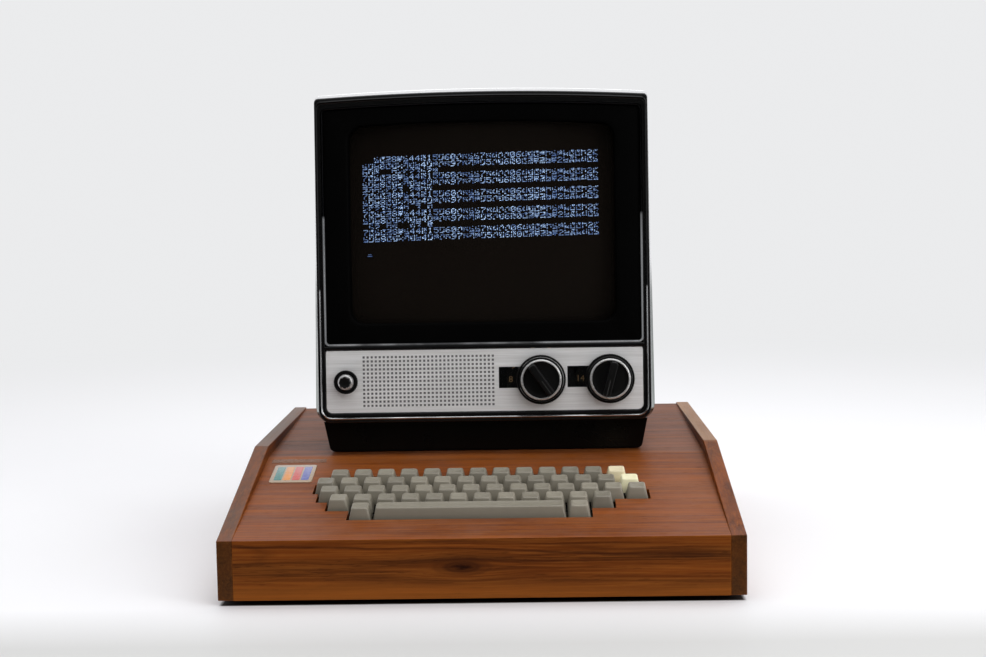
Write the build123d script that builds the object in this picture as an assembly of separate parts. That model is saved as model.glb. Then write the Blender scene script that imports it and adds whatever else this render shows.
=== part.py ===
"""Vintage home computer: a wooden case with a full keyboard, and a small television set
standing on the rear deck of the case as its monitor.

Millimetres, +Z up.  The origin is on the table, under the middle of the case; the keyboard
faces -Y.  Three frames are used: the case's own, one that lies on the sloping keyboard deck
(x, distance up the slope, height above the deck), and one that leans back with the monitor
(x, depth behind its face, height above its lower edge).
"""

import os
from math import atan2, cos, degrees, radians, tan

from build123d import *

# ---------------------------------------------------------------- wooden case
CASE_WIDTH = 400.0
CASE_DEPTH = 430.0
KINK_DEPTH = 185.0  # front face to the bend in the side panels
WOOD_BASE = 4.0  # lower edge of the wood above the table
FRONT_TOP = 50.0  # heights above the table
KINK_TOP = 91.0
REAR_TOP = 89.0
DECK_JOINT_TOP = 81.0  # where the two decks meet
REAR_DECK_DROP = 1.5  # rear deck below the side panels at the back
SIDE_THICKNESS = 12.0
FRONT_THICKNESS = 12.0
BACK_THICKNESS = 12.0
DECK_THICKNESS = 9.0
FLOOR_THICKNESS = 6.0
FLOOR_RECESS = 2.0  # floor panel above the lower edge of the wood
WOOD_EDGE = 0.8
FOOT_RADIUS = 9.0
FOOT_INSET = 34.0
FOOT_ROUNDING = 1.0
BLOCK_SIZE = 14.0
BLOCK_CLEARANCE = 1.0
RAIL_DEPTH = 20.0
RAIL_HEIGHT = 14.0
CABLE_SLOT_WIDTH = 90.0
CABLE_SLOT_HEIGHT = 18.0
CABLE_SLOT_BASE = 24.0
CABLE_SLOT_CORNER = 6.0
SCREW_RADIUS = 2.0
SCREW_HEAD_RADIUS = 4.0
SCREW_HEAD_HEIGHT = 1.6
SCREW_LENGTH = 16.0

# ---------------------------------------------------------------- badge on the deck
BADGE_SIDE_GAP = 9.0  # from the left side panel to the badge
BADGE_KEY_GAP = 5.5  # from the badge to the nearest key skirt of the two back rows
BADGE_LENGTH = 42.0
BADGE_THICKNESS = 0.6
BADGE_DISTANCE = 145.0  # along the slope from the front edge
BADGE_CORNER = 3.0
LABEL_SIDE_GAP = 4.5
LABEL_WIDTH = 47.0
LABEL_LENGTH = 9.0
LABEL_THICKNESS = 0.4
LABEL_GAP = 6.0

# ---------------------------------------------------------------- keyboard
KEY_PITCH = 19.05
KEYBOARD_SHIFT = 1.8  # the keyboard sits a little right of the middle
FRONT_ROW_DISTANCE = 50.0  # along the slope from the front edge
# (centre of the first key in pitches from the keyboard's middle, number of keys), back to front
KEY_ROWS = ((-6.35, 13), (-6.85, 14), (-6.60, 14), (-6.10, 12))
LEFT_KEY_CENTRE = -5.1
RIGHT_KEY_CENTRE = 3.9
SPACE_BAR_CENTRE = -0.6
SPACE_BAR_PITCHES = 8
SPACE_BAR_GUIDE = 57.0  # side stems from the middle stem
CAP_GAP = 1.35  # between the skirts of two keys
CAP_TOP_WIDTH = 13.0
CAP_TOP_DEPTH = 13.2
CAP_TOP_SETBACK = 0.7
CAP_ABOVE_DECK = 8.0
CAP_BELOW_DECK = 3.0
CAP_WALL = 1.4
CAP_SKIRT_CORNER = 1.2
CAP_TOP_CORNER = 2.2
STEM_SIZE = 5.0
STEM_REACH = 12.0  # lower end of the stems below the deck surface
STEM_CLEARANCE = 0.3
KEY_TRAVEL = 3.8
CUTOUT_MARGIN = 1.5
HOUSING_SIZE = 13.4
HOUSING_TOP = -6.0
HOUSING_FLOOR = 1.2
HOUSING_PLAY = 0.2  # round a housing in the plate
PLATE_GAP = 2.5  # below the underside of the deck
PLATE_THICKNESS = 1.5
PLATE_MARGIN = 11.0
KEY_BOARD_THICKNESS = 1.6
KEY_BOARD_MARGIN = 3.0
SPACER_RADIUS = 4.5
SPACER_INSET = 6.0

# ---------------------------------------------------------------- electronics in the case
BOARD_WIDTH = 260.0
BOARD_DEPTH = 190.0
BOARD_THICKNESS = 1.6
BOARD_RIGHT_GAP = 8.0
BOARD_REAR_GAP = 16.0
STANDOFF_HEIGHT = 8.0
STANDOFF_RADIUS = 3.5
STANDOFF_INSET = 8.0
CHIP_HEIGHT = 4.0
CHIP_COLUMNS = 10
CHIP_ROWS = 5
CHIP_WIDTH = 7.5
CHIP_LENGTH = 19.5
CHIP_AREA = (222.0, 110.0)
CHIP_AREA_SHIFT = (-8.0, -30.0)
PROCESSOR_SIZE = (50.0, 15.0, 5.0)
PROCESSOR_PLACE = (-82.0, 48.0)
CAPACITOR_RADIUS = 12.5
CAPACITOR_HEIGHT = 38.0
CAPACITOR_ROUNDING = 1.0
CAPACITOR_PITCH = 32.0
CAPACITOR_PLACE = (32.0, 66.0)
HEAT_SINK_SIZE = (44.0, 26.0, 24.0)
HEAT_SINK_PLACE = (-18.0, 66.0)
FIN_COUNT = 7
FIN_THICKNESS = 1.4
HEAT_SINK_BASE = 2.8
TRANSFORMER_CORE = (52.0, 40.0, 44.0)
TRANSFORMER_COIL = (30.0, 56.0, 28.0)
TRANSFORMER_PITCH = 72.0
TRANSFORMER_GAP = 30.0  # core to the left side panel

# ---------------------------------------------------------------- monitor: place and face
MONITOR_LEAN = 4.4
FACE_BEHIND_KINK = 2.0
FACE_BASE = 108.7  # lower edge of the face above the table
FACE_WIDTH = 295.4  # across the lower edge
FACE_TAPER = 5.8  # narrower across the top by this much
FACE_HEIGHT = 285.2
FACE_CROWN = 4.6  # rise of the top edge in the middle
CORNER_LOW = 14.0
CORNER_HIGH = 4.0
RIM_SIDE = 8.1  # face's edge to the black surround
RIM_TOP = 14.1
RIM_BASE = 9.7  # face's lower edge to the control plate
RIM_BAR = 5.8  # between the control plate and the surround
BEZEL_DEPTH = 14.0
BEZEL_ROUNDING = 3.0
BEZEL_FACE = 4.4  # thickness of its front
BEZEL_WALL = 4.0  # thickness of its sides
CABINET_INSET = 1.2
CABINET_WALL = 3.0
CABINET_DEPTH = 165.0
POST_SIZE = 12.0
POST_DEPTH = 22.0
POST_CLEARANCE = 1.0  # between a post and the inside of the sleeve, bridged by its own web
POST_WEB = 4.0
MASK_THICKNESS = 2.5
MASK_FRONT = 2.4
MASK_CORNER = 3.0
MASK_CROWN = 4.2  # rise of the surround's top edge in the middle
TRIM_WIDTH = 1.6
TRIM_FRONT = 0.4
TRIM_DEPTH = 4.4
COLLAR_WALL = 2.5
COLLAR_DEPTH = 30.0
SCREEN_SIDE = 21.7  # black surround beside the screen
SCREEN_EDGE = 14.65  # black surround above and below it
SCREEN_CORNER = 11.0
SCREEN_RISE = 2.9  # middle of the screen above the middle of the surround's sides
PART_PLAY = 0.3

# ---------------------------------------------------------------- picture tube
TUBE_MARGIN = 6.0  # glass beyond the visible screen
TUBE_SPHERE = 700.0
TUBE_APEX = 5.0  # front of the glass behind the face
TUBE_WALL = 6.0
FUNNEL_START = 45.0
FUNNEL_SECTIONS = ((72.0, 190.0, 146.0, 40.0), (100.0, 100.0, 88.0, 38.0))
NECK_START = 120.0
NECK_RADIUS = 14.5
NECK_WALL = 2.0
NECK_END = 196.0
YOKE_PROFILE = ((55.0, 100.0), (17.5, 121.0), (17.5, 136.0), (31.0, 136.0), (42.0, 122.0), (63.0, 100.0))
SOCKET_RADIUS = 18.0
SOCKET_LENGTH = 9.0
SOCKET_BOARD = 58.0

# ---------------------------------------------------------------- monitor controls
PLATE_SIDE = 10.5  # face's edge to the plate
PLATE_HEIGHT = 53.8
PLATE_METAL = 1.2
PLATE_FRONT = 2.0
PLATE_CORNER_LOW = 5.0
PLATE_CORNER_HIGH = 1.5
GRILLE_PLACE = 88.7  # middle of the perforations from the plate's left edge
GRILLE_PITCH = 3.5
GRILLE_COLUMNS = 33
GRILLE_ROWS = 13
GRILLE_HOLE = 1.9
VOLUME_PLACE = 17.4  # volume axis from the plate's left edge
VOLUME_RING_RADIUS = 10.4
VOLUME_KNOB_RADIUS = 5.4
VOLUME_FLANGE = 1.3  # the knob's flange beyond its grip
VOLUME_SLEEVE_WALL = 1.3
VOLUME_POT_WALL = 4.6
VOLUME_RING_FRONT = 5.0
VOLUME_KNOB_FRONT = 14.0
VOLUME_SLEEVE_REACH = 8.0  # behind the plate's front
VOLUME_SHAFT_REACH = 18.0
VOLUME_RING_ROUNDING = 1.0
VOLUME_KNOB_ROUNDING = 0.8
VOLUME_FLANGE_HEIGHT = 2.0
VOLUME_BODY_REACH = 5.0  # the control's body behind the end of the shaft
VHF_PLACE = 88.2  # VHF axis from the plate's right edge
UHF_PLACE = 28.9
KNOB_RADIUS = 19.1
KNOB_PLAY = 0.5  # between the VHF knob and its fine tuning ring
FINE_RING_WALL = 1.8
UHF_SKIRT = 2.3  # the UHF knob's flange beyond its grip
BRIGHT_RING_WIDTH = 2.7
KNOB_SEAT = 0.8  # back of the VHF knob, in its ring
KNOB_HEIGHT = 7.0
KNOB_FRONT = 9.5
FINE_RING_FRONT = 6.0
FINE_RING_CHAMFER = 0.8
UHF_SKIRT_FRONT = 4.5
KNOB_CROWN = 1.2  # raised disc inside the bright ring
SHAFT_SEAT = 1.0  # end of a shaft below the knob's height
BAR_MARGIN = 0.9  # end of the bar grip to the bright ring
BAR_WIDTH = 7.5
BAR_FRONT = 17.0
BAR_TAPER = 4.0  # degrees
VHF_BAR_ANGLE = -55.0
UHF_BAR_ANGLE = 75.0
SHAFT_RADIUS = 3.0
SHAFT_PLAY = 0.3
DIAL_THICKNESS = 1.2
VHF_DIAL_RADIUS = 30.0
VHF_DIAL_DEPTH = 5.6
UHF_DIAL_RADIUS = 29.0
UHF_DIAL_DEPTH = 8.0
DIAL_HUB_RADIUS = 6.0
DIAL_HUB_DEPTH = 4.0
WINDOW_LEFT = 36.5  # left edge of a dial window from its knob's axis
WINDOW_RIGHT = 8.0
WINDOW_HEIGHT = 18.4
WINDOW_RISE = 2.0
WINDOW_GLASS = 0.8
PLATE_BORE = 5.3  # round hole in the plate for a tuner shaft
TUNER_FRONT = 14.0
TUNER_DEPTH = 55.0
TUNER_BASE = 13.0
TUNER_BORE = 20.0
TUNER_HEIGHT = 46.0
VHF_TUNER_WIDTH = 46.0
UHF_TUNER_WIDTH = 42.0

# ---------------------------------------------------------------- behind the monitor's face
SPEAKER_RIM = (106.0, 45.0)  # width and height of the oval speaker
SPEAKER_FLAT = 1.0  # straight part in the middle of the basket's ends, half its height
SPEAKER_EDGE = 2.0
SPEAKER_BACK = 1.5
SPEAKER_NECK = (36.0, 32.0)
SPEAKER_FRONT = 3.6
SPEAKER_DEPTH = 18.0
MAGNET_RADIUS = 15.0
MAGNET_DEPTH = 11.0
CHASSIS_BOARD_SIZE = (220.0, 84.0, 1.6)
CHASSIS_BOARD_PLACE = (0.0, 126.0, 12.0)
LINE_TRANSFORMER_SIZE = (42.0, 36.0, 44.0)
LINE_TRANSFORMER_PLACE = (-76.0, 132.0)
LINE_TRANSFORMER_CORNER = 4.0
COVER_FLANGE = 3.0
COVER_FLANGE_WIDTH = 16.0
COVER_DEPTH = 42.0
COVER_WALL = 2.5
COVER_END = (180.0, 150.0, 12.0)  # width, height and corner of the cover's flat end
COVER_END_CENTRE = 128.0
VENT_COUNT = 11
VENT_PITCH = 13.0
VENT_SIZE = (5.0, 50.0)
VENT_CENTRE = 155.0
BACK_BLOCK_CORNER = 2.0
TERMINAL_SIZE = (44.0, 8.0, 20.0)
TERMINAL_PLACE = (-48.0, 82.0)
INLET_SIZE = (30.0, 8.0, 20.0)
INLET_PLACE = (50.0, 82.0)

# ---------------------------------------------------------------- pedestal
PEDESTAL_GAP = 1.0  # its front behind the bezel
PEDESTAL_DEPTH = 160.0
PEDESTAL_SIDE = 4.3  # face's edge to the pedestal's side
PEDESTAL_TAPER = 14.5  # narrower across the bottom by this much
PEDESTAL_CORNER = 4.5
PEDESTAL_WALL = 3.0
PAD_HEIGHT = 1.0
PAD_RADIUS = 8.0
PAD_INSET = 26.0

# ---------------------------------------------------------------- values worked out from these
FRONT_Y = -CASE_DEPTH / 2
REAR_Y = CASE_DEPTH / 2
KINK_Y = FRONT_Y + KINK_DEPTH
INNER_HALF = CASE_WIDTH / 2 - SIDE_THICKNESS
DECK_ANGLE = degrees(atan2(DECK_JOINT_TOP - FRONT_TOP, KINK_DEPTH))
REAR_DECK_TOP = REAR_TOP - REAR_DECK_DROP
REAR_SLOPE = (REAR_DECK_TOP - DECK_JOINT_TOP) / (REAR_Y - KINK_Y)
FLOOR_BASE = WOOD_BASE + FLOOR_RECESS
FLOOR_TOP = FLOOR_BASE + FLOOR_THICKNESS
DECK_FRAME = Location((0, FRONT_Y, FRONT_TOP), (DECK_ANGLE, 0, 0))
FACE_Y = KINK_Y + FACE_BEHIND_KINK
MONITOR_FRAME = Location((0, FACE_Y, FACE_BASE), (-MONITOR_LEAN, 0, 0))
CAP_SKIRT = KEY_PITCH - CAP_GAP
SPACE_BAR_LENGTH = SPACE_BAR_PITCHES * KEY_PITCH - CAP_GAP
PLATE_TOP = -DECK_THICKNESS - PLATE_GAP
KEY_BOARD_TOP = -STEM_REACH - KEY_TRAVEL - STEM_CLEARANCE - HOUSING_FLOOR
FACE_WIDTH_HIGH = FACE_WIDTH - FACE_TAPER
MASK_BASE = RIM_BASE + PLATE_HEIGHT + RIM_BAR
MASK_WIDTH = FACE_WIDTH_HIGH - 2 * RIM_SIDE
MASK_HEIGHT = FACE_HEIGHT - RIM_TOP - MASK_BASE
SCREEN_CENTRE = MASK_BASE + MASK_HEIGHT / 2 + SCREEN_RISE
SCREEN_WIDTH = MASK_WIDTH - 2 * SCREEN_SIDE
SCREEN_HEIGHT = MASK_HEIGHT - 2 * SCREEN_EDGE
PLATE_WIDTH = FACE_WIDTH - 2 * PLATE_SIDE
CONTROL_HEIGHT = RIM_BASE + PLATE_HEIGHT / 2
GRILLE_CENTRE = (GRILLE_PLACE - PLATE_WIDTH / 2, CONTROL_HEIGHT)
VOLUME_X = VOLUME_PLACE - PLATE_WIDTH / 2
VHF_X = PLATE_WIDTH / 2 - VHF_PLACE
UHF_X = PLATE_WIDTH / 2 - UHF_PLACE
BORE_RADIUS = SHAFT_RADIUS + SHAFT_PLAY
SLEEVE_RADIUS = BORE_RADIUS + VOLUME_SLEEVE_WALL
KNOB_FACE_RADIUS = KNOB_RADIUS - BRIGHT_RING_WIDTH
KNOB_BACK = PART_PLAY + 0.1 - PLATE_FRONT  # back of the knobs, just off the plate
BAR_LENGTH = 2 * (KNOB_FACE_RADIUS - BAR_MARGIN)
PEDESTAL_WIDTH_HIGH = FACE_WIDTH - 2 * PEDESTAL_SIDE
PEDESTAL_WIDTH_LOW = PEDESTAL_WIDTH_HIGH - PEDESTAL_TAPER
CABINET_END = BEZEL_DEPTH + CABINET_DEPTH
COVER_FACE = CABINET_END + COVER_FLANGE + COVER_DEPTH


def prism_x(points, x_from, x_to):
    """Solid with a (y, z) outline between two x planes."""
    outline = Plane.YZ.offset(x_from) * Polygon(*points, align=None)
    return extrude(outline, x_to - x_from, dir=(1, 0, 0))


def slab(sketch, depth_from, depth_to):
    """Solid with an (x, height) outline between two depths behind the monitor's face."""
    return extrude(Plane.XZ.offset(-depth_from) * sketch, depth_to - depth_from, dir=(0, 1, 0))


def rounded(width, height, corner, centre=(0.0, 0.0)):
    """Rounded rectangle about a centre."""
    return Pos(*centre) * RectangleRounded(width, height, corner)


def box_from(low, high):
    """Box between two corners."""
    size = [b - a for a, b in zip(low, high)]
    return Pos(*low) * Box(*size, align=(Align.MIN, Align.MIN, Align.MIN))


def group(solids):
    """Separate solids that share one node."""
    return Compound(children=[piece.solid() for piece in solids])


# ---------------------------------------------------------------- wooden case
def keyboard_deck_top(y):
    """Height of the keyboard deck's surface at a depth."""
    return FRONT_TOP + (y - FRONT_Y) * tan(radians(DECK_ANGLE))


def rear_deck_top(y):
    """Height of the rear deck's surface at a depth."""
    return DECK_JOINT_TOP + (y - KINK_Y) * REAR_SLOPE


def make_side_panel(side):
    """Side panel: low at the keyboard, bent, then nearly level; side is -1 left, +1 right."""
    outline = [
        (FRONT_Y, WOOD_BASE),
        (FRONT_Y, FRONT_TOP),
        (KINK_Y, KINK_TOP),
        (REAR_Y, REAR_TOP),
        (REAR_Y, WOOD_BASE),
    ]
    inner, outer = side * INNER_HALF, side * CASE_WIDTH / 2
    panel = prism_x(outline, min(inner, outer), max(inner, outer))
    return fillet(panel.edges(), WOOD_EDGE)


def deck_underside_drop():
    """Vertical distance through the keyboard deck."""
    return DECK_THICKNESS / cos(radians(DECK_ANGLE))


def mitre_point():
    """Inner end of the mitre between the front panel and the keyboard deck, as (y, z)."""
    y = FRONT_Y + FRONT_THICKNESS
    return (y, keyboard_deck_top(y) - deck_underside_drop())


def make_front_panel():
    """Front panel, mitred along the top to the keyboard deck."""
    inner = mitre_point()
    outline = [(FRONT_Y, WOOD_BASE), (FRONT_Y, FRONT_TOP), inner, (inner[0], WOOD_BASE)]
    return prism_x(outline, -INNER_HALF, INNER_HALF)


def make_back_panel():
    """Back panel under the rear deck, with a slot for the cables."""
    inner = REAR_Y - BACK_THICKNESS
    outline = [
        (inner, WOOD_BASE),
        (inner, rear_deck_top(inner) - DECK_THICKNESS),
        (REAR_Y, rear_deck_top(REAR_Y) - DECK_THICKNESS),
        (REAR_Y, WOOD_BASE),
    ]
    middle = (0, CABLE_SLOT_BASE + CABLE_SLOT_HEIGHT / 2)
    slot = rounded(CABLE_SLOT_WIDTH, CABLE_SLOT_HEIGHT, CABLE_SLOT_CORNER, middle)
    return prism_x(outline, -INNER_HALF, INNER_HALF) - slab(slot, inner - 1, REAR_Y + 1)


def key_centre(pitches, row):
    """Centre of a key in the deck frame; rows count from the back, 0 to 4."""
    x = KEYBOARD_SHIFT + pitches * KEY_PITCH
    return (x, FRONT_ROW_DISTANCE + (len(KEY_ROWS) - row) * KEY_PITCH)


def row_span(row):
    """Left and right ends of a row's skirts, in the deck frame."""
    if row < len(KEY_ROWS):
        first, count = KEY_ROWS[row]
        last = first + count - 1
    else:
        first, last = LEFT_KEY_CENTRE, RIGHT_KEY_CENTRE
    return (key_centre(first, row)[0] - CAP_SKIRT / 2, key_centre(last, row)[0] + CAP_SKIRT / 2)


def key_cutout():
    """Stepped opening that follows the rows of keys, through the deck."""
    half = CAP_SKIRT / 2 + CUTOUT_MARGIN
    opening = Sketch()
    for row in range(len(KEY_ROWS) + 1):
        left, right = row_span(row)
        middle = key_centre(0, row)[1]
        patch = Rectangle(right - left + 2 * CUTOUT_MARGIN, 2 * half)
        opening += Pos((left + right) / 2, middle) * patch
    return extrude(opening, 2 * DECK_THICKNESS, both=True)


def make_keyboard_deck():
    """Sloping deck with the stepped opening for the keys."""
    drop = deck_underside_drop()
    outline = [
        (FRONT_Y, FRONT_TOP),
        (KINK_Y, DECK_JOINT_TOP),
        (KINK_Y, DECK_JOINT_TOP - drop),
        mitre_point(),
    ]
    return prism_x(outline, -INNER_HALF, INNER_HALF) - DECK_FRAME * key_cutout()


def make_rear_deck():
    """Rear deck, which carries the monitor."""
    outline = [
        (KINK_Y, DECK_JOINT_TOP),
        (REAR_Y, REAR_DECK_TOP),
        (REAR_Y, REAR_DECK_TOP - DECK_THICKNESS),
        (KINK_Y, DECK_JOINT_TOP - DECK_THICKNESS),
    ]
    return prism_x(outline, -INNER_HALF, INNER_HALF)


def block_places():
    """Centres of the corner blocks as (x, y, height of the deck's underside there)."""
    x = INNER_HALF - BLOCK_SIZE / 2
    front = mitre_point()[0] + BLOCK_SIZE / 2
    rear = REAR_Y - BACK_THICKNESS - BLOCK_SIZE / 2
    front_top = keyboard_deck_top(front - BLOCK_SIZE / 2) - deck_underside_drop()
    rear_top = rear_deck_top(rear - BLOCK_SIZE / 2) - DECK_THICKNESS
    return [(side * x, y, top) for side in (-1, 1) for y, top in ((front, front_top), (rear, rear_top))]


def make_case_screws():
    """Countersunk screws that hold the floor panel to the corner blocks."""
    screw = Cylinder(SCREW_RADIUS, SCREW_LENGTH, align=(Align.CENTER, Align.CENTER, Align.MIN))
    screw += Cone(
        SCREW_HEAD_RADIUS,
        SCREW_RADIUS,
        SCREW_HEAD_HEIGHT,
        align=(Align.CENTER, Align.CENTER, Align.MIN),
    )
    return group([Pos(x, y, FLOOR_BASE) * screw for x, y, _ in block_places()])


def make_glue_blocks():
    """Corner blocks, and the rail under the joint of the two decks."""
    blocks = []
    for x, y, top in block_places():
        low = (x - BLOCK_SIZE / 2, y - BLOCK_SIZE / 2, FLOOR_TOP)
        high = (x + BLOCK_SIZE / 2, y + BLOCK_SIZE / 2, top - BLOCK_CLEARANCE)
        blocks.append(box_from(low, high) - make_case_screws())
    rail_front = KINK_Y - RAIL_DEPTH / 2
    rail_top = DECK_JOINT_TOP - deck_underside_drop()
    outline = [
        (rail_front, keyboard_deck_top(rail_front) - deck_underside_drop()),
        (KINK_Y, rail_top),
        (KINK_Y + RAIL_DEPTH / 2, rail_top),
        (KINK_Y + RAIL_DEPTH / 2, rail_top - RAIL_HEIGHT),
        (rail_front, rail_top - RAIL_HEIGHT),
    ]
    blocks.append(prism_x(outline, -INNER_HALF, INNER_HALF))
    return group(blocks)


def make_floor_panel():
    """Plywood floor between the four walls."""
    low = (-INNER_HALF, FRONT_Y + FRONT_THICKNESS, FLOOR_BASE)
    high = (INNER_HALF, REAR_Y - BACK_THICKNESS, FLOOR_TOP)
    return box_from(low, high) - make_case_screws()


def make_case_feet():
    """Four rubber feet under the floor panel."""
    foot = Cylinder(FOOT_RADIUS, FLOOR_BASE, align=(Align.CENTER, Align.CENTER, Align.MIN))
    foot = fillet(foot.edges().sort_by(Axis.Z)[:1], FOOT_ROUNDING)
    x, y = INNER_HALF - FOOT_INSET, CASE_DEPTH / 2 - FOOT_INSET
    return group([Pos(i * x, j * y) * foot for i in (-1, 1) for j in (-1, 1)])


def make_badge():
    """Thin rounded badge on the free strip of the deck between the side panel and the keys."""
    left = BADGE_SIDE_GAP - INNER_HALF
    right = min(row_span(0)[0], row_span(1)[0]) - BADGE_KEY_GAP
    plate = extrude(rounded(right - left, BADGE_LENGTH, BADGE_CORNER), BADGE_THICKNESS)
    return DECK_FRAME * Pos((left + right) / 2, BADGE_DISTANCE) * plate


def make_badge_label():
    """Thin clear strip above the badge."""
    strip = extrude(Rectangle(LABEL_WIDTH, LABEL_LENGTH), LABEL_THICKNESS)
    x = LABEL_SIDE_GAP - INNER_HALF + LABEL_WIDTH / 2
    y = BADGE_DISTANCE + BADGE_LENGTH / 2 + LABEL_GAP + LABEL_LENGTH / 2
    return DECK_FRAME * Pos(x, y) * strip


# ---------------------------------------------------------------- keyboard
def tapered(width, depth, low, high, shrink):
    """Tapered body of a cap: skirt size, heights of its ends and an inset for the inside."""
    top_width = width - CAP_SKIRT + CAP_TOP_WIDTH
    lower = RectangleRounded(width - 2 * shrink, depth - 2 * shrink, CAP_SKIRT_CORNER)
    upper = RectangleRounded(top_width - 2 * shrink, CAP_TOP_DEPTH - 2 * shrink, CAP_TOP_CORNER)
    ends = [Pos(0, 0, low) * lower, Pos(0, CAP_TOP_SETBACK, high) * upper]
    return loft(ends, ruled=True)


def make_cap(width=CAP_SKIRT, stems=(0.0,)):
    """Hollow key cap about its own centre, with its stems."""
    shell = tapered(width, CAP_SKIRT, -CAP_BELOW_DECK, CAP_ABOVE_DECK, 0)
    shell -= tapered(width, CAP_SKIRT, -CAP_BELOW_DECK, CAP_ABOVE_DECK - CAP_WALL, CAP_WALL)
    length = CAP_ABOVE_DECK - CAP_WALL / 2 + STEM_REACH
    stem = Pos(0, 0, -STEM_REACH) * Box(
        STEM_SIZE, STEM_SIZE, length, align=(Align.CENTER, Align.CENTER, Align.MIN)
    )
    for offset in stems:
        shell += Pos(offset) * stem
    return shell


def place_key(cap, pitches, row):
    """A cap at its key's centre, on the deck."""
    return DECK_FRAME * Pos(*key_centre(pitches, row)) * cap


def make_key_row(row, count):
    """The first keys of a row, as separate solids."""
    cap = make_cap()
    first = KEY_ROWS[row][0]
    return group([place_key(cap, first + i, row) for i in range(count)])


def make_last_key(row):
    """The last key of a row."""
    first, count = KEY_ROWS[row]
    return place_key(make_cap(), first + count - 1, row)


def make_space_bar():
    """Long bar with a middle stem and two side stems."""
    bar = make_cap(SPACE_BAR_LENGTH, (-SPACE_BAR_GUIDE, 0.0, SPACE_BAR_GUIDE))
    return place_key(bar, SPACE_BAR_CENTRE, len(KEY_ROWS))


def housing_places():
    """Centre of every switch housing and space bar guide, in the deck frame."""
    places = []
    for row, (first, count) in enumerate(KEY_ROWS):
        places += [key_centre(first + i, row) for i in range(count)]
    front = len(KEY_ROWS)
    places += [key_centre(p, front) for p in (LEFT_KEY_CENTRE, SPACE_BAR_CENTRE, RIGHT_KEY_CENTRE)]
    x, y = key_centre(SPACE_BAR_CENTRE, front)
    return places + [(x + side * SPACE_BAR_GUIDE, y) for side in (-1, 1)]


def make_key_switches():
    """Square switch housings with a blind hole for each stem."""
    height = HOUSING_TOP - KEY_BOARD_TOP
    hole = STEM_SIZE + 2 * STEM_CLEARANCE
    top = (Align.CENTER, Align.CENTER, Align.MAX)
    housing = Box(HOUSING_SIZE, HOUSING_SIZE, height, align=top)
    housing -= Box(hole, hole, height - HOUSING_FLOOR, align=top)
    housing = Pos(0, 0, HOUSING_TOP) * housing
    return group([DECK_FRAME * Pos(x, y) * housing for x, y in housing_places()])


def plate_edges(margin):
    """Left, right, front and back edges of the keyboard plate in the deck frame."""
    rows = range(len(KEY_ROWS) + 1)
    left = min(row_span(row)[0] for row in rows) - margin
    right = max(row_span(row)[1] for row in rows) + margin
    front = key_centre(0, len(KEY_ROWS))[1] - CAP_SKIRT / 2 - margin
    back = key_centre(0, 0)[1] + CAP_SKIRT / 2 + margin
    return left, right, front, back


def make_keyboard_plate():
    """Steel plate with a square hole for every switch."""
    left, right, front, back = plate_edges(PLATE_MARGIN)
    sheet = Pos((left + right) / 2, (front + back) / 2) * Rectangle(right - left, back - front)
    hole = Rectangle(HOUSING_SIZE + 2 * HOUSING_PLAY, HOUSING_SIZE + 2 * HOUSING_PLAY)
    sheet -= [Pos(*place) * hole for place in housing_places()]
    return DECK_FRAME * Pos(0, 0, PLATE_TOP) * extrude(sheet, -PLATE_THICKNESS)


def make_keyboard_board():
    """Circuit board under the switch housings."""
    left, right, front, back = plate_edges(PLATE_MARGIN - KEY_BOARD_MARGIN)
    low = (left, front, KEY_BOARD_TOP - KEY_BOARD_THICKNESS)
    return DECK_FRAME * box_from(low, (right, back, KEY_BOARD_TOP))


def make_keyboard_spacers():
    """Spacers that hang the keyboard plate from the underside of the deck."""
    left, right, front, back = plate_edges(PLATE_MARGIN - SPACER_INSET)
    spacer = Pos(0, 0, PLATE_TOP) * Cylinder(
        SPACER_RADIUS, PLATE_GAP, align=(Align.CENTER, Align.CENTER, Align.MIN)
    )
    places = [(x, y) for x in (left, right) for y in (front, back)]
    return group([DECK_FRAME * Pos(x, y) * spacer for x, y in places])


# ---------------------------------------------------------------- electronics in the case
def board_centre():
    """Middle of the main board, as (x, y)."""
    x = INNER_HALF - BOARD_RIGHT_GAP - BOARD_WIDTH / 2
    return (x, REAR_Y - BACK_THICKNESS - BOARD_REAR_GAP - BOARD_DEPTH / 2)


BOARD_TOP = FLOOR_TOP + STANDOFF_HEIGHT + BOARD_THICKNESS
STANDING = (Align.CENTER, Align.CENTER, Align.MIN)


def on_board(place):
    """Location on the main board's upper face, from the board's middle."""
    x, y = board_centre()
    return Pos(x + place[0], y + place[1], BOARD_TOP)


def make_main_board():
    """Bare main circuit board."""
    hanging = (Align.CENTER, Align.CENTER, Align.MAX)
    return on_board((0, 0)) * Box(BOARD_WIDTH, BOARD_DEPTH, BOARD_THICKNESS, align=hanging)


def make_board_standoffs():
    """Posts between the floor panel and the main board."""
    x, y = board_centre()
    reach_x, reach_y = BOARD_WIDTH / 2 - STANDOFF_INSET, BOARD_DEPTH / 2 - STANDOFF_INSET
    post = Pos(x, y, FLOOR_TOP) * Cylinder(STANDOFF_RADIUS, STANDOFF_HEIGHT, align=STANDING)
    return group([Pos(i * reach_x, j * reach_y) * post for i in (-1, 0, 1) for j in (-1, 1)])


def make_logic_chips():
    """Rows of dual in-line chips."""
    chip = Box(CHIP_WIDTH, CHIP_LENGTH, CHIP_HEIGHT, align=STANDING)
    step_x, step_y = CHIP_AREA[0] / CHIP_COLUMNS, CHIP_AREA[1] / CHIP_ROWS
    grid = GridLocations(step_x, step_y, CHIP_COLUMNS, CHIP_ROWS)
    return group([on_board(CHIP_AREA_SHIFT) * place * chip for place in grid])


def make_processor():
    """The long processor chip."""
    return on_board(PROCESSOR_PLACE) * Box(*PROCESSOR_SIZE, align=STANDING)


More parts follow.
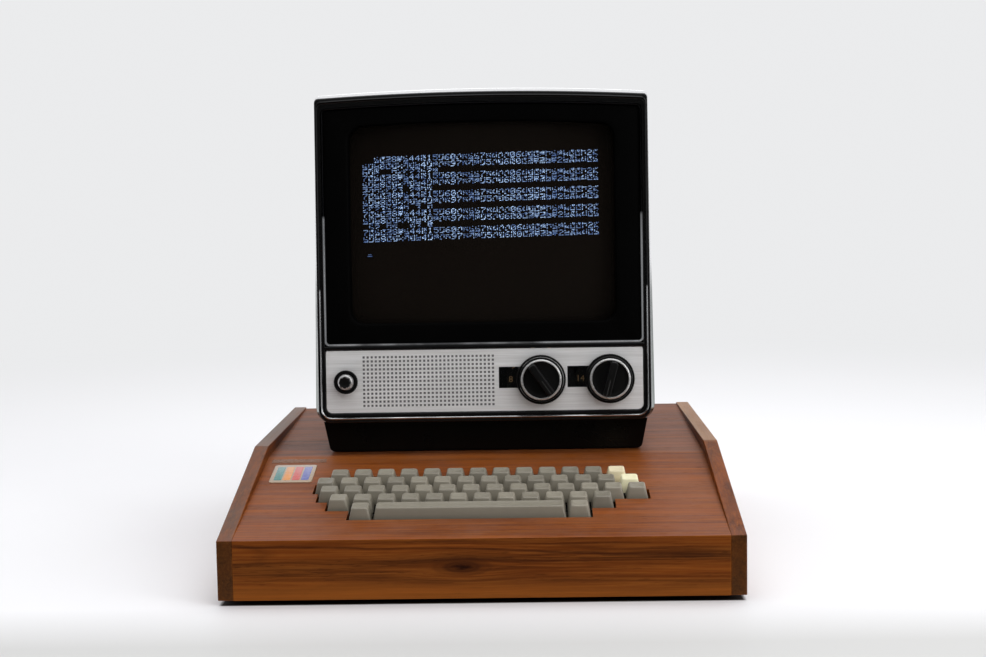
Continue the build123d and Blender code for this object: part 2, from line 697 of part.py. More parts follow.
def make_filter_capacitors():
    """Three tall filter capacitors."""
    can = fillet(Cylinder(CAPACITOR_RADIUS, CAPACITOR_HEIGHT, align=STANDING).edges(), CAPACITOR_ROUNDING)
    x, y = CAPACITOR_PLACE
    return group([on_board((x + i * CAPACITOR_PITCH, y)) * can for i in range(3)])


def make_heat_sink():
    """Finned heat sink of the voltage regulator."""
    width, depth, height = HEAT_SINK_SIZE
    sink = Box(width, depth, HEAT_SINK_BASE, align=STANDING)
    fin = Box(FIN_THICKNESS, depth, height, align=STANDING)
    step = (width - FIN_THICKNESS) / (FIN_COUNT - 1)
    for i in range(FIN_COUNT):
        sink += Pos((i - (FIN_COUNT - 1) / 2) * step) * fin
    return on_board(HEAT_SINK_PLACE) * sink


def make_power_transformers():
    """Two laminated transformers on the floor panel, left of the board."""
    transformer = Box(*TRANSFORMER_CORE, align=STANDING)
    lift = (TRANSFORMER_CORE[2] - TRANSFORMER_COIL[2]) / 2
    transformer += Pos(0, 0, lift) * Box(*TRANSFORMER_COIL, align=STANDING)
    x = -INNER_HALF + TRANSFORMER_GAP + TRANSFORMER_CORE[0] / 2
    y = board_centre()[1]
    places = [Pos(x, y + side * TRANSFORMER_PITCH / 2, FLOOR_TOP) for side in (-1, 1)]
    return group([place * transformer for place in places])


# ---------------------------------------------------------------- monitor cabinet
def face_outline(inset=0.0):
    """Outline of the monitor seen from the front: crowned top, larger corners below."""
    low, high = FACE_WIDTH / 2 - inset, FACE_WIDTH_HIGH / 2 - inset
    top = FACE_HEIGHT - inset
    sides = Polyline((-high, top), (-low, inset), (low, inset), (high, top))
    crown = ThreePointArc((high, top), (0, top + FACE_CROWN), (-high, top))
    face = make_face(sides + crown)
    corners = face.vertices().sort_by(Axis.Y)
    face = fillet(corners[:2], max(CORNER_LOW - inset, 1.0))
    return fillet(face.vertices().sort_by(Axis.Y)[-2:], max(CORNER_HIGH - inset / 2, 1.0))


def mask_outline(grow=0.0):
    """Outline of the black surround of the screen, crowned like the face."""
    half, low, top = MASK_WIDTH / 2 + grow, MASK_BASE - grow, MASK_BASE + MASK_HEIGHT + grow
    sides = Polyline((-half, top), (-half, low), (half, low), (half, top))
    crown = ThreePointArc((half, top), (0, top + MASK_CROWN), (-half, top))
    face = make_face(sides + crown)
    return fillet(face.vertices(), MASK_CORNER + grow)


def screen_outline(grow=0.0):
    """Outline of the visible screen."""
    return rounded(
        SCREEN_WIDTH + 2 * grow, SCREEN_HEIGHT + 2 * grow, SCREEN_CORNER + grow, (0, SCREEN_CENTRE)
    )


def plate_outline(grow=0.0):
    """Outline of the control plate, with larger corners below."""
    sheet = Rectangle(PLATE_WIDTH + 2 * grow, PLATE_HEIGHT + 2 * grow)
    sheet = Pos(0, CONTROL_HEIGHT) * sheet
    sheet = fillet(sheet.vertices().sort_by(Axis.Y)[:2], PLATE_CORNER_LOW + grow)
    return fillet(sheet.vertices().sort_by(Axis.Y)[-2:], PLATE_CORNER_HIGH + grow)


def make_front_bezel():
    """Moulded front frame with an upper and a lower opening."""
    frame = slab(face_outline(), 0, BEZEL_DEPTH)
    frame = fillet(frame.edges().group_by(Axis.Y)[0], BEZEL_ROUNDING)
    frame -= slab(mask_outline(TRIM_WIDTH + PART_PLAY), -1, BEZEL_DEPTH + 1)
    frame -= slab(plate_outline(PART_PLAY), -1, BEZEL_DEPTH + 1)
    frame -= slab(face_outline(BEZEL_WALL), BEZEL_FACE, BEZEL_DEPTH + 1)
    return MONITOR_FRAME * frame


def make_bezel_trim():
    """Bright thin frame round the screen's surround."""
    ring = slab(mask_outline(TRIM_WIDTH), TRIM_FRONT, TRIM_DEPTH)
    ring -= slab(mask_outline(), TRIM_FRONT - 1, TRIM_DEPTH + 1)
    return MONITOR_FRAME * ring


def screen_ball(radius):
    """Ball whose front is the curved screen."""
    return Pos(0, TUBE_APEX + TUBE_SPHERE, SCREEN_CENTRE) * Sphere(radius)


def make_tube_mask():
    """Black surround with a collar that reaches back to the glass."""
    mask = slab(mask_outline(-PART_PLAY), MASK_FRONT, MASK_FRONT + MASK_THICKNESS)
    mask += slab(screen_outline(COLLAR_WALL), MASK_FRONT, COLLAR_DEPTH)
    mask -= slab(screen_outline(), 0, COLLAR_DEPTH + 1)
    return MONITOR_FRAME * (mask - screen_ball(TUBE_SPHERE + PART_PLAY))


def tube_body(inset):
    """Panel, funnel and neck of the tube as one solid, shrunk by an inset for its inside."""
    width = SCREEN_WIDTH + 2 * TUBE_MARGIN - 2 * inset
    height = SCREEN_HEIGHT + 2 * TUBE_MARGIN - 2 * inset
    corner = SCREEN_CORNER + TUBE_MARGIN - inset
    start = FUNNEL_START - inset / 3
    body = slab(rounded(width, height, corner, (0, SCREEN_CENTRE)), 0, start)
    body &= screen_ball(TUBE_SPHERE - inset)
    neck = NECK_RADIUS - (NECK_WALL if inset else 0)
    sections = [(start, width, height, corner)]
    sections += [(d, w - inset, h - inset, c - inset / 2) for d, w, h, c in FUNNEL_SECTIONS]
    sections += [(NECK_START, 2 * neck, 2 * neck, neck - 0.1)]
    faces = [Plane.XZ.offset(-d) * rounded(w, h, c, (0, SCREEN_CENTRE)) for d, w, h, c in sections]
    end = NECK_END - inset
    body += loft(faces, ruled=True)
    return body + slab(Pos(0, SCREEN_CENTRE) * Circle(neck), NECK_START - 1, end)


def make_picture_tube():
    """Hollow glass picture tube."""
    return MONITOR_FRAME * (tube_body(0) - tube_body(TUBE_WALL))


def make_deflection_yoke():
    """Coil assembly round the start of the neck."""
    profile = Polygon(*YOKE_PROFILE, align=None)
    ring = revolve(profile, Axis.Y)
    return MONITOR_FRAME * Pos(0, 0, SCREEN_CENTRE) * ring


def make_tube_socket():
    """Socket and small board on the end of the neck."""
    depth = NECK_END
    socket = slab(Circle(SOCKET_RADIUS), depth, depth + SOCKET_LENGTH)
    socket += slab(Rectangle(SOCKET_BOARD, SOCKET_BOARD), depth, depth + BOARD_THICKNESS)
    return MONITOR_FRAME * Pos(0, 0, SCREEN_CENTRE) * socket


def post_places():
    """Centres of the cabinet's four corner posts, as (x, height)."""
    x = FACE_WIDTH_HIGH / 2 - CABINET_INSET - CABINET_WALL - POST_SIZE / 2 - POST_CLEARANCE
    low = CABINET_INSET + CABINET_WALL + POST_SIZE / 2
    high = FACE_HEIGHT - CABINET_INSET - CABINET_WALL - POST_SIZE / 2 - POST_CLEARANCE
    return [(side * x, z) for side in (-1, 1) for z in (low, high)]


def make_rear_screws():
    """Screws through the rear cover's flange into the corner posts."""
    screw = slab(Circle(SCREW_RADIUS), CABINET_END - SCREW_LENGTH, CABINET_END + COVER_FLANGE)
    head = CABINET_END + COVER_FLANGE
    screw += slab(Circle(SCREW_HEAD_RADIUS), head, head + SCREW_HEAD_HEIGHT)
    return group([MONITOR_FRAME * Pos(x, 0, z) * screw for x, z in post_places()])


def make_cabinet():
    """Sleeve behind the bezel, with posts for the rear cover's screws."""
    sleeve = slab(face_outline(CABINET_INSET), BEZEL_DEPTH, CABINET_END)
    sleeve -= slab(face_outline(CABINET_INSET + CABINET_WALL), BEZEL_DEPTH - 1, CABINET_END + 1)
    limit = slab(face_outline(CABINET_INSET), CABINET_END - POST_DEPTH, CABINET_END)
    for x, z in post_places():
        post = Pos(x, z) * Rectangle(POST_SIZE + POST_WEB, POST_SIZE + POST_WEB)
        sleeve += slab(post, CABINET_END - POST_DEPTH, CABINET_END) & limit
    return MONITOR_FRAME * sleeve - make_rear_screws()


def cover_root(inset):
    """Outline of the cover's tapered body where it leaves the flange."""
    margin = COVER_FLANGE_WIDTH + inset
    width, height = FACE_WIDTH_HIGH - 2 * margin, FACE_HEIGHT - 2 * margin
    return rounded(width, height, COVER_END[2] - inset, (0, FACE_HEIGHT / 2))


def cover_body(inset):
    """Tapered body of the rear cover, shrunk by an inset for its inside."""
    width, height, corner = COVER_END
    start = CABINET_END + COVER_FLANGE
    far = rounded(width - 2 * inset, height - 2 * inset, corner - inset, (0, COVER_END_CENTRE))
    near = Plane.XZ.offset(-start) * cover_root(inset)
    return loft([near, Plane.XZ.offset(inset - COVER_FACE) * far], ruled=True)


def make_rear_cover():
    """Flanged and vented cover over the back of the tube."""
    start = CABINET_END + COVER_FLANGE
    cover = slab(face_outline(CABINET_INSET), CABINET_END, start) + cover_body(0)
    cover -= cover_body(COVER_WALL)
    cover -= slab(cover_root(COVER_WALL), CABINET_END - 1, start + 0.1)
    vents = GridLocations(VENT_PITCH, 1, VENT_COUNT, 1)
    slots = [Pos(0, VENT_CENTRE) * place * rounded(*VENT_SIZE, VENT_SIZE[0] / 2 - 0.1) for place in vents]
    for slot in slots:
        cover -= slab(slot, COVER_FACE - COVER_WALL - 1, COVER_FACE + 1)
    return MONITOR_FRAME * cover - make_rear_screws()


def make_back_block(size, place):
    """Small moulded block on the flat end of the rear cover."""
    width, depth, height = size
    block = slab(rounded(width, height, BACK_BLOCK_CORNER, place), COVER_FACE, COVER_FACE + depth)
    return MONITOR_FRAME * block


# ---------------------------------------------------------------- monitor controls
def on_axis(x):
    """Frame of a control: x right, y up, z out of the monitor's face."""
    return MONITOR_FRAME * Pos(x, 0, CONTROL_HEIGHT) * Rot(90, 0, 0)


def disc(radius, low, high, bore=0.0):
    """Round slab between two heights out of the face, with an optional bore."""
    body = Pos(0, 0, low) * Cylinder(radius, high - low, align=STANDING)
    if bore:
        body -= Pos(0, 0, low - 1) * Cylinder(bore, high - low + 2, align=STANDING)
    return body


def window_outline(axis_x, grow=0.0):
    """Opening in the control plate that shows a dial."""
    width = WINDOW_LEFT - WINDOW_RIGHT + 2 * grow
    centre = (axis_x - (WINDOW_LEFT + WINDOW_RIGHT) / 2, CONTROL_HEIGHT + WINDOW_RISE)
    return Pos(*centre) * Rectangle(width, WINDOW_HEIGHT + 2 * grow)


def make_control_plate():
    """Metal plate with the speaker's perforations, dial windows and shaft holes."""
    sheet = plate_outline()
    hole = Rectangle(GRILLE_HOLE, GRILLE_HOLE)
    grid = GridLocations(GRILLE_PITCH, GRILLE_PITCH, GRILLE_COLUMNS, GRILLE_ROWS)
    sheet -= [Pos(*GRILLE_CENTRE) * place * hole for place in grid]
    for x in (VHF_X, UHF_X):
        sheet -= window_outline(x)
        sheet -= Pos(x, CONTROL_HEIGHT) * Circle(PLATE_BORE)
    sheet -= Pos(VOLUME_X, CONTROL_HEIGHT) * Circle(SLEEVE_RADIUS + SHAFT_PLAY)
    return MONITOR_FRAME * slab(sheet, PLATE_FRONT, PLATE_FRONT + PLATE_METAL)


def make_dial_windows():
    """Clear panes in the two dial windows."""
    panes = []
    for x in (VHF_X, UHF_X):
        pane = window_outline(x) - Pos(x, CONTROL_HEIGHT) * Circle(DIAL_HUB_RADIUS)
        back = PLATE_FRONT + PLATE_METAL
        panes.append(MONITOR_FRAME * slab(pane, back - WINDOW_GLASS, back))
    return group(panes)


def make_volume_ring():
    """Outer ring of the volume control, on a short sleeve."""
    ring = disc(VOLUME_RING_RADIUS, KNOB_BACK, VOLUME_RING_FRONT)
    ring = fillet(ring.edges().sort_by(Axis.Z)[-1:], VOLUME_RING_ROUNDING)
    ring += disc(SLEEVE_RADIUS, -PLATE_FRONT - VOLUME_SLEEVE_REACH, 0)
    return on_axis(VOLUME_X) * (ring - disc(BORE_RADIUS, -VOLUME_SHAFT_REACH, VOLUME_RING_FRONT + 1))


def make_volume_knob():
    """Inner knob of the volume control, on its shaft."""
    base = VOLUME_RING_FRONT + PART_PLAY
    knob = disc(VOLUME_KNOB_RADIUS + VOLUME_FLANGE, base, base + VOLUME_FLANGE_HEIGHT)
    knob += disc(VOLUME_KNOB_RADIUS, base + VOLUME_FLANGE_HEIGHT, VOLUME_KNOB_FRONT)
    knob = fillet(knob.edges().sort_by(Axis.Z)[-1:], VOLUME_KNOB_ROUNDING)
    return on_axis(VOLUME_X) * (knob + disc(SHAFT_RADIUS, -VOLUME_SHAFT_REACH, base + 1))


def make_volume_control():
    """Body of the volume control behind the plate."""
    radius = SLEEVE_RADIUS + SHAFT_PLAY + VOLUME_POT_WALL
    body = disc(radius, -VOLUME_SHAFT_REACH - VOLUME_BODY_REACH, -PLATE_FRONT - PLATE_METAL)
    body -= disc(SLEEVE_RADIUS + SHAFT_PLAY, -PLATE_FRONT - VOLUME_SLEEVE_REACH - 2 * PART_PLAY, 0)
    return on_axis(VOLUME_X) * (body - disc(BORE_RADIUS, -VOLUME_SHAFT_REACH - 1, 0))


def make_vhf_fine_ring():
    """Fine tuning ring round the VHF knob."""
    cup = KNOB_RADIUS + KNOB_PLAY
    ring = disc(cup + FINE_RING_WALL, KNOB_BACK, FINE_RING_FRONT)
    ring = chamfer(ring.edges().sort_by(Axis.Z)[-1:], FINE_RING_CHAMFER)
    ring -= disc(cup, KNOB_SEAT - PART_PLAY - 0.1, FINE_RING_FRONT + 1)
    return on_axis(VHF_X) * (ring - disc(BORE_RADIUS, KNOB_BACK - 1, FINE_RING_FRONT))


def make_knob(x, bar_angle, skirt=0.0):
    """Channel knob with a bar grip; skirt is how far its own flange stands out, if it has one."""
    knob = disc(KNOB_RADIUS, KNOB_SEAT, KNOB_HEIGHT)
    knob += disc(KNOB_FACE_RADIUS, KNOB_HEIGHT, KNOB_HEIGHT + KNOB_CROWN)
    if skirt:
        knob += disc(KNOB_RADIUS + skirt, KNOB_BACK, UHF_SKIRT_FRONT)
    bar = extrude(SlotOverall(BAR_LENGTH, BAR_WIDTH), BAR_FRONT - KNOB_HEIGHT, taper=BAR_TAPER)
    bar = Pos(0, 0, KNOB_HEIGHT) * bar
    knob += Rot(0, 0, bar_angle) * bar
    return on_axis(x) * (knob - disc(SHAFT_RADIUS, KNOB_BACK - 1, KNOB_HEIGHT - SHAFT_SEAT))


def make_knob_ring(x):
    """Bright ring pressed on the front of a channel knob."""
    return on_axis(x) * disc(KNOB_RADIUS, KNOB_HEIGHT, KNOB_FRONT, bore=KNOB_FACE_RADIUS)


def make_dial(x, radius, depth):
    """Number disc behind the plate, in one with the shaft from the knob back into the tuner."""
    dial = disc(radius, -depth - DIAL_THICKNESS, -depth)
    dial += disc(DIAL_HUB_RADIUS, -depth - DIAL_HUB_DEPTH, -depth)
    return on_axis(x) * (dial + disc(SHAFT_RADIUS, -TUNER_FRONT - TUNER_BORE, KNOB_HEIGHT - SHAFT_SEAT))


def make_tuners():
    """Screened boxes of the VHF and UHF tuners, bored for their shafts."""
    boxes = []
    for x, width in ((VHF_X, VHF_TUNER_WIDTH), (UHF_X, UHF_TUNER_WIDTH)):
        low = (x - width / 2, TUNER_FRONT, TUNER_BASE)
        high = (x + width / 2, TUNER_FRONT + TUNER_DEPTH, TUNER_BASE + TUNER_HEIGHT)
        bore = disc(BORE_RADIUS, -TUNER_FRONT - TUNER_BORE - 1, 0)
        boxes.append(MONITOR_FRAME * box_from(low, high) - on_axis(x) * bore)
    return group(boxes)


# ---------------------------------------------------------------- behind the monitor's face
def basket_body(inset, back):
    """Tapered body of the speaker's basket, shrunk by an inset for its inside."""
    faces = []
    for depth, size in ((SPEAKER_FRONT, SPEAKER_RIM), (SPEAKER_FRONT + SPEAKER_DEPTH - back, SPEAKER_NECK)):
        width, height = size[0] - 2 * inset, size[1] - 2 * inset
        outline = rounded(width, height, height / 2 - SPEAKER_FLAT, GRILLE_CENTRE)
        faces.append(Plane.XZ.offset(-depth) * outline)
    return loft(faces, ruled=True)


def make_speaker_frame():
    """Basket and magnet of the oval speaker."""
    end = SPEAKER_FRONT + SPEAKER_DEPTH
    basket = basket_body(0, 0) - basket_body(SPEAKER_EDGE, SPEAKER_BACK)
    magnet = slab(Pos(*GRILLE_CENTRE) * Circle(MAGNET_RADIUS), end, end + MAGNET_DEPTH)
    return MONITOR_FRAME * (basket + magnet)


def make_chassis_board():
    """Circuit board in the bottom of the cabinet, with the line output transformer on it."""
    board = Pos(*CHASSIS_BOARD_PLACE) * Box(*CHASSIS_BOARD_SIZE)
    top = CHASSIS_BOARD_PLACE[2] + CHASSIS_BOARD_SIZE[2] / 2
    block = Box(*LINE_TRANSFORMER_SIZE, align=STANDING)
    block = fillet(block.edges().filter_by(Axis.Z), LINE_TRANSFORMER_CORNER)
    block = Pos(*LINE_TRANSFORMER_PLACE, top) * block
    return group([MONITOR_FRAME * board, MONITOR_FRAME * block])


# ---------------------------------------------------------------- pedestal
PEDESTAL_FRONT_Y = FACE_Y + BEZEL_DEPTH + PEDESTAL_GAP
PEDESTAL_REAR_Y = PEDESTAL_FRONT_Y + PEDESTAL_DEPTH


def cabinet_underside(y):
    """Height of the cabinet's lower face at a depth."""
    lift = CABINET_INSET / cos(radians(MONITOR_LEAN))
    return FACE_BASE + lift - (y - FACE_Y) * tan(radians(MONITOR_LEAN))


def pedestal_body(inset, rise):
    """Wedge between the rear deck's pads and the cabinet, shrunk by an inset for its inside."""
    front, rear = PEDESTAL_FRONT_Y + inset, PEDESTAL_REAR_Y - inset
    low, high = PEDESTAL_WIDTH_LOW / 2 - inset, PEDESTAL_WIDTH_HIGH / 2 - inset
    base, top = DECK_JOINT_TOP - 10, FACE_BASE + 10
    foot = rear_deck_top(front) + PAD_HEIGHT
    section = Polygon((-low, foot), (low, foot), (high, top), (-high, top), align=None)
    section = fillet(section.vertices().sort_by(Axis.Y)[:2], max(PEDESTAL_CORNER - inset, 1.0))
    ends = [
        (front, rear_deck_top(front) + PAD_HEIGHT + rise),
        (rear, rear_deck_top(rear) + PAD_HEIGHT + rise),
        (rear, cabinet_underside(rear) - inset),
        (front, cabinet_underside(front) - inset),
    ]
    return slab(section, front, rear) & prism_x(ends, -high, high)


def make_pedestal():
    """Hollow wedge-shaped pedestal that leans the monitor back."""
    return pedestal_body(0, 0) - pedestal_body(PEDESTAL_WALL, -5)


def make_pedestal_pads():
    """Rubber pads between the pedestal and the rear deck."""
    pads = []
    x = PEDESTAL_WIDTH_LOW / 2 - PAD_INSET
    for y in (PEDESTAL_FRONT_Y + PAD_INSET, PEDESTAL_REAR_Y - PAD_INSET):
        for side in (-1, 1):
            tilt = Location((side * x, y, rear_deck_top(y)), (degrees(atan2(REAR_SLOPE, 1)), 0, 0))
            pads.append(tilt * Cylinder(PAD_RADIUS, PAD_HEIGHT, align=STANDING))
    return group(pads)


# ---------------------------------------------------------------- every node of the model
NODES = {
    "left_side_panel": make_side_panel(-1),
    "right_side_panel": make_side_panel(1),
    "front_panel": make_front_panel(),
    "back_panel": make_back_panel(),
    "keyboard_deck": make_keyboard_deck(),
    "rear_deck": make_rear_deck(),
    "floor_panel": make_floor_panel(),
    "glue_blocks": make_glue_blocks(),
    "case_screws": make_case_screws(),
    "case_feet": make_case_feet(),
    "badge": make_badge(),
    "badge_label": make_badge_label(),
    "keyboard_plate": make_keyboard_plate(),
    "keyboard_board": make_keyboard_board(),
    "keyboard_spacers": make_keyboard_spacers(),
    "key_switches": make_key_switches(),
    "keys_row_1": make_key_row(0, KEY_ROWS[0][1] - 1),
    "keys_row_2": make_key_row(1, KEY_ROWS[1][1] - 1),
    "keys_row_3": make_key_row(2, KEY_ROWS[2][1]),
    "keys_row_4": make_key_row(3, KEY_ROWS[3][1]),
    "cream_key_row_1": make_last_key(0),
    "cream_key_row_2": make_last_key(1),
    "left_front_key": place_key(make_cap(), LEFT_KEY_CENTRE, len(KEY_ROWS)),
    "right_front_key": place_key(make_cap(), RIGHT_KEY_CENTRE, len(KEY_ROWS)),
    "space_bar": make_space_bar(),
    "main_board": make_main_board(),
    "board_standoffs": make_board_standoffs(),
    "logic_chips": make_logic_chips(),
    "processor": make_processor(),
    "filter_capacitors": make_filter_capacitors(),
    "heat_sink": make_heat_sink(),
    "power_transformers": make_power_transformers(),
    "front_bezel": make_front_bezel(),
    "bezel_trim": make_bezel_trim(),
    "tube_mask": make_tube_mask(),
    "picture_tube": make_picture_tube(),
    "deflection_yoke": make_deflection_yoke(),
    "tube_socket": make_tube_socket(),
    "cabinet": make_cabinet(),
    "rear_cover": make_rear_cover(),
    "rear_screws": make_rear_screws(),
    "antenna_terminals": make_back_block(TERMINAL_SIZE, TERMINAL_PLACE),
    "mains_inlet": make_back_block(INLET_SIZE, INLET_PLACE),
    "control_plate": make_control_plate(),
    "dial_windows": make_dial_windows(),
    "volume_ring": make_volume_ring(),
    "volume_knob": make_volume_knob(),
    "volume_control": make_volume_control(),
    "vhf_fine_ring": make_vhf_fine_ring(),
    "vhf_knob": make_knob(VHF_X, VHF_BAR_ANGLE),
    "vhf_knob_ring": make_knob_ring(VHF_X),
    "vhf_dial": make_dial(VHF_X, VHF_DIAL_RADIUS, VHF_DIAL_DEPTH),
    "uhf_knob": make_knob(UHF_X, UHF_BAR_ANGLE, skirt=UHF_SKIRT),
    "uhf_knob_ring": make_knob_ring(UHF_X),
    "uhf_dial": make_dial(UHF_X, UHF_DIAL_RADIUS, UHF_DIAL_DEPTH),
    "tuners": make_tuners(),
    "speaker_frame": make_speaker_frame(),
    "chassis_board": make_chassis_board(),
    "pedestal": make_pedestal(),
    "pedestal_pads": make_pedestal_pads(),
}

os.makedirs("parts", exist_ok=True)
for node, shape in NODES.items():
    export_step(shape, f"parts/{node}.step")
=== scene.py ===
"""Wooden home computer with a small black television standing on its rear deck.

The case, keys, screen and controls are built in millimetres in the frame of the part that carries
them: the sloping deck, the leaning face of the television, or the axis of a knob.
"""

import math
import random

import bmesh
import bpy
from bpy.props import FloatProperty, FloatVectorProperty, PointerProperty
from mathutils import Matrix, Vector


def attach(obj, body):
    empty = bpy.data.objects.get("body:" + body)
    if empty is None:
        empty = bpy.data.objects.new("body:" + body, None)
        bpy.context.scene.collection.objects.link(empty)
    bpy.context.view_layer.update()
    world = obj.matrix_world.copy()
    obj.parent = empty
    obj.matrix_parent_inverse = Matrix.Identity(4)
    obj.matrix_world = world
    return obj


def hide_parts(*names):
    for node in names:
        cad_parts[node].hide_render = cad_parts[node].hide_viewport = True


bl_info = {
    "name": "Wooden home computer",
    "version": (1, 0, 0),
    "blender": (4, 5, 0),
    "location": "View3D > Sidebar > Computer",
    "description": "Builds the visible pieces of a wooden home computer and its television",
    "category": "Object",
}

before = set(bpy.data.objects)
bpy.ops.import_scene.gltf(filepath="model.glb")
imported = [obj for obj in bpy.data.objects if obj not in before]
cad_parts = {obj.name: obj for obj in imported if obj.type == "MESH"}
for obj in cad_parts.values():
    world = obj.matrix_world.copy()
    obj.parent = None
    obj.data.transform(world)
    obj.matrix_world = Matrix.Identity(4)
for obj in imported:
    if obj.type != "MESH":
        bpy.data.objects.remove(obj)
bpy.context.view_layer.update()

MM = 0.001
SHADE = "shade"  # value that a cap or a lit dot of the screen carries on its vertices
CAP_SEED, SCREEN_SEED = 11, 4

# Frames: the keyboard deck as (x, distance up the slope, height), the face as (x, depth, height).
WORLD = Matrix.Identity(4)
DECK = Matrix.Translation((0, -0.215, 0.050)) @ Matrix.Rotation(math.radians(9.512), 4, "X")
FACE = Matrix.Translation((0, -0.028, 0.1087)) @ Matrix.Rotation(math.radians(-4.4), 4, "X")

KEY_PITCH = 19.05
KEY_SHIFT = 1.8
FRONT_ROW, LAST_ROW = 50.0, 4  # distance up the slope of the front row, and its number
CAP_SKIRT = 17.7
CAP_LOW, CAP_TOP = -3.0, 8.0  # heights over the deck
CAP_TAPER = (4.7, 4.5, 0.7)  # loss of width and of length from skirt to top, and shift up the slope
STEM_SIZE, STEM_FOOT = 5.0, -12.0
# Key groups: name, row from the back, place of the first key in pitches from the middle, number of
# keys, width in pitches, places of the stems, and body.
KEY_GROUPS = (
    ("keys_row_1", 0, -6.35, 12, 1, (0,), "row_1_keys"),
    ("keys_row_2", 1, -6.85, 13, 1, (0,), "row_2_keys"),
    ("keys_row_3", 2, -6.60, 14, 1, (0,), "row_3_keys"),
    ("keys_row_4", 3, -6.10, 12, 1, (0,), "row_4_keys"),
    ("cream_key_row_1", 0, 5.65, 1, 1, (0,), "cream_key_1"),
    ("cream_key_row_2", 1, 6.15, 1, 1, (0,), "cream_key_2"),
    ("left_front_key", 4, -5.1, 1, 1, (0,), "left_key"),
    ("right_front_key", 4, 3.9, 1, 1, (0,), "right_key"),
    ("space_bar", 4, -0.6, 1, 8, (-57, 0, 57), "bar"),
)

# Middle and size, across and up the slope, of the badge and the clear strip above it, and the
# width, length and pitch of the badge's bars.
BADGE_PLACE, BADGE_SIZE = (-161.0, 145.0), (36.0, 42.0)
BADGE_BAR = (6.4, 32.0, 7.6)
STRIP_PLACE, STRIP_SIZE = (-160.0, 176.5), (47.0, 9.0)

# Knot of the front board: its middle, size, push on the grain around it, and rings. The dark line
# above it: its height at the middle, fall to the right per length, and wander.
KNOT_X, KNOT_Z, KNOT_WIDTH, KNOT_HEIGHT, KNOT_PUSH, KNOT_RINGS = -14.5, 28.2, 26.0, 8.0, 4.5, 17
LINE_Z, LINE_FALL, LINE_WANDER = 43.0, 0.031, 5.0
SIDE_BEND = -30.0  # depth at which the top edge of a side panel turns from the slope to the rear deck

CONTROL_HEIGHT = 36.6
VOLUME_X, VHF_X, UHF_X = -119.8, 49.0, 108.3
TUBE_SPHERE = 700.0
TUBE_CENTRE = (705.0, 173.1)  # depth and height of the sphere's centre

# Outlines in the face frame: half widths below and above, lower edge, upper edge at its ends,
# crown, and the radii of the lower and upper corners.
FACE_LINE = (147.7, 144.8, 0.0, 285.2, 4.6, 14.0, 4.0)
FRONT_LINE = (144.2, 143.9, 0.9, 281.6, 4.4, 11.5, 3.4)
RIM_LINE = (137.5, 138.6, 9.4, 273.0, 4.2, 5.3, 4.6)
TRIM_LINE = (138.3, 138.3, 67.7, 272.7, 4.2, 4.6, 4.6)
MASK_LINE = (136.7, 136.7, 69.3, 271.1, 4.2, 3.0, 3.0)
SCREEN_LINE = (115.0, 115.0, 86.9, 257.5, 3.2, 12.0, 12.0)


# ---------------------------------------------------------------- sizes and colours
def colour(label, text, value):
    """Colour property with a picker."""
    return FloatVectorProperty(name=label, description=text, default=value, size=3, min=0, max=1,
                               subtype="COLOR")


def size(label, text, millimetres):
    """Length property, in metres."""
    return FloatProperty(name=label, description=text, default=millimetres * MM, min=0, subtype="DISTANCE",
                         unit="LENGTH")


def power(label, text, watts):
    """Power property of a light, in watts."""
    return FloatProperty(name=label, description=text, default=watts, min=0, subtype="POWER", unit="POWER")


class CaseSettings(bpy.types.PropertyGroup):
    """Finish of the wooden case and its badge."""

    dark: colour("Dark grain", "Darkest lines of the walnut", (0.044, 0.011, 0.003))
    middle: colour("Wood", "Main colour of the walnut", (0.205, 0.047, 0.0055))
    light: colour("Light grain", "Lightest streaks of the walnut", (0.380, 0.115, 0.016))
    sapwood: colour("Sapwood", "Pale top edge of the right side panel", (0.400, 0.225, 0.120))
    # Greyed top edge of the left panel: partly bleaching of the wood, partly painted sheen of the light.
    bleach_and_sheen: colour("Bleached wood", "Greyed top edge of the left side panel", (0.200, 0.145, 0.115))
    badge_field: colour("Badge", "Field of the badge", (0.40, 0.28, 0.17))
    bar_1: colour("First bar", "Left bar of the badge", (0.010, 0.200, 0.180))
    bar_2: colour("Second bar", "Second bar of the badge", (0.780, 0.270, 0.015))
    bar_3: colour("Third bar", "Third bar of the badge", (0.620, 0.045, 0.030))
    bar_4: colour("Fourth bar", "Right bar of the badge", (0.090, 0.110, 0.420))


class KeySettings(bpy.types.PropertyGroup):
    """Shape and finish of the key caps."""

    grey: colour("Grey caps", "Colour of the grey caps", (0.275, 0.250, 0.195))
    cream: colour("Cream caps", "Colour of the two cream caps", (1.000, 0.860, 0.580))
    dish: size("Dish", "Depth of the hollow in a cap's top", 0.9)
    rim: size("Rim rounding", "Radius of the rounding round a cap's top", 0.9)
    wall: size("Wall", "Thickness of a cap's walls", 1.4)


class MonitorSettings(bpy.types.PropertyGroup):
    """Finish of the television and its controls."""

    shell: colour("Shell", "Black moulding of the shell", (0.006, 0.006, 0.006))
    plate: colour("Plate", "Brushed control plate", (0.960, 0.955, 0.940))
    glow: colour("Glow", "Light of the characters", (0.500, 0.700, 1.000))
    glow_strength: FloatProperty(name="Glow strength", description="Brightness of the characters",
                                 default=1.9, min=0)
    glass: colour("Screen", "Dark glass of the screen", (0.0085, 0.0066, 0.0052))
    numeral: colour("Numerals", "Figures on the channel dials", (0.42, 0.27, 0.14))


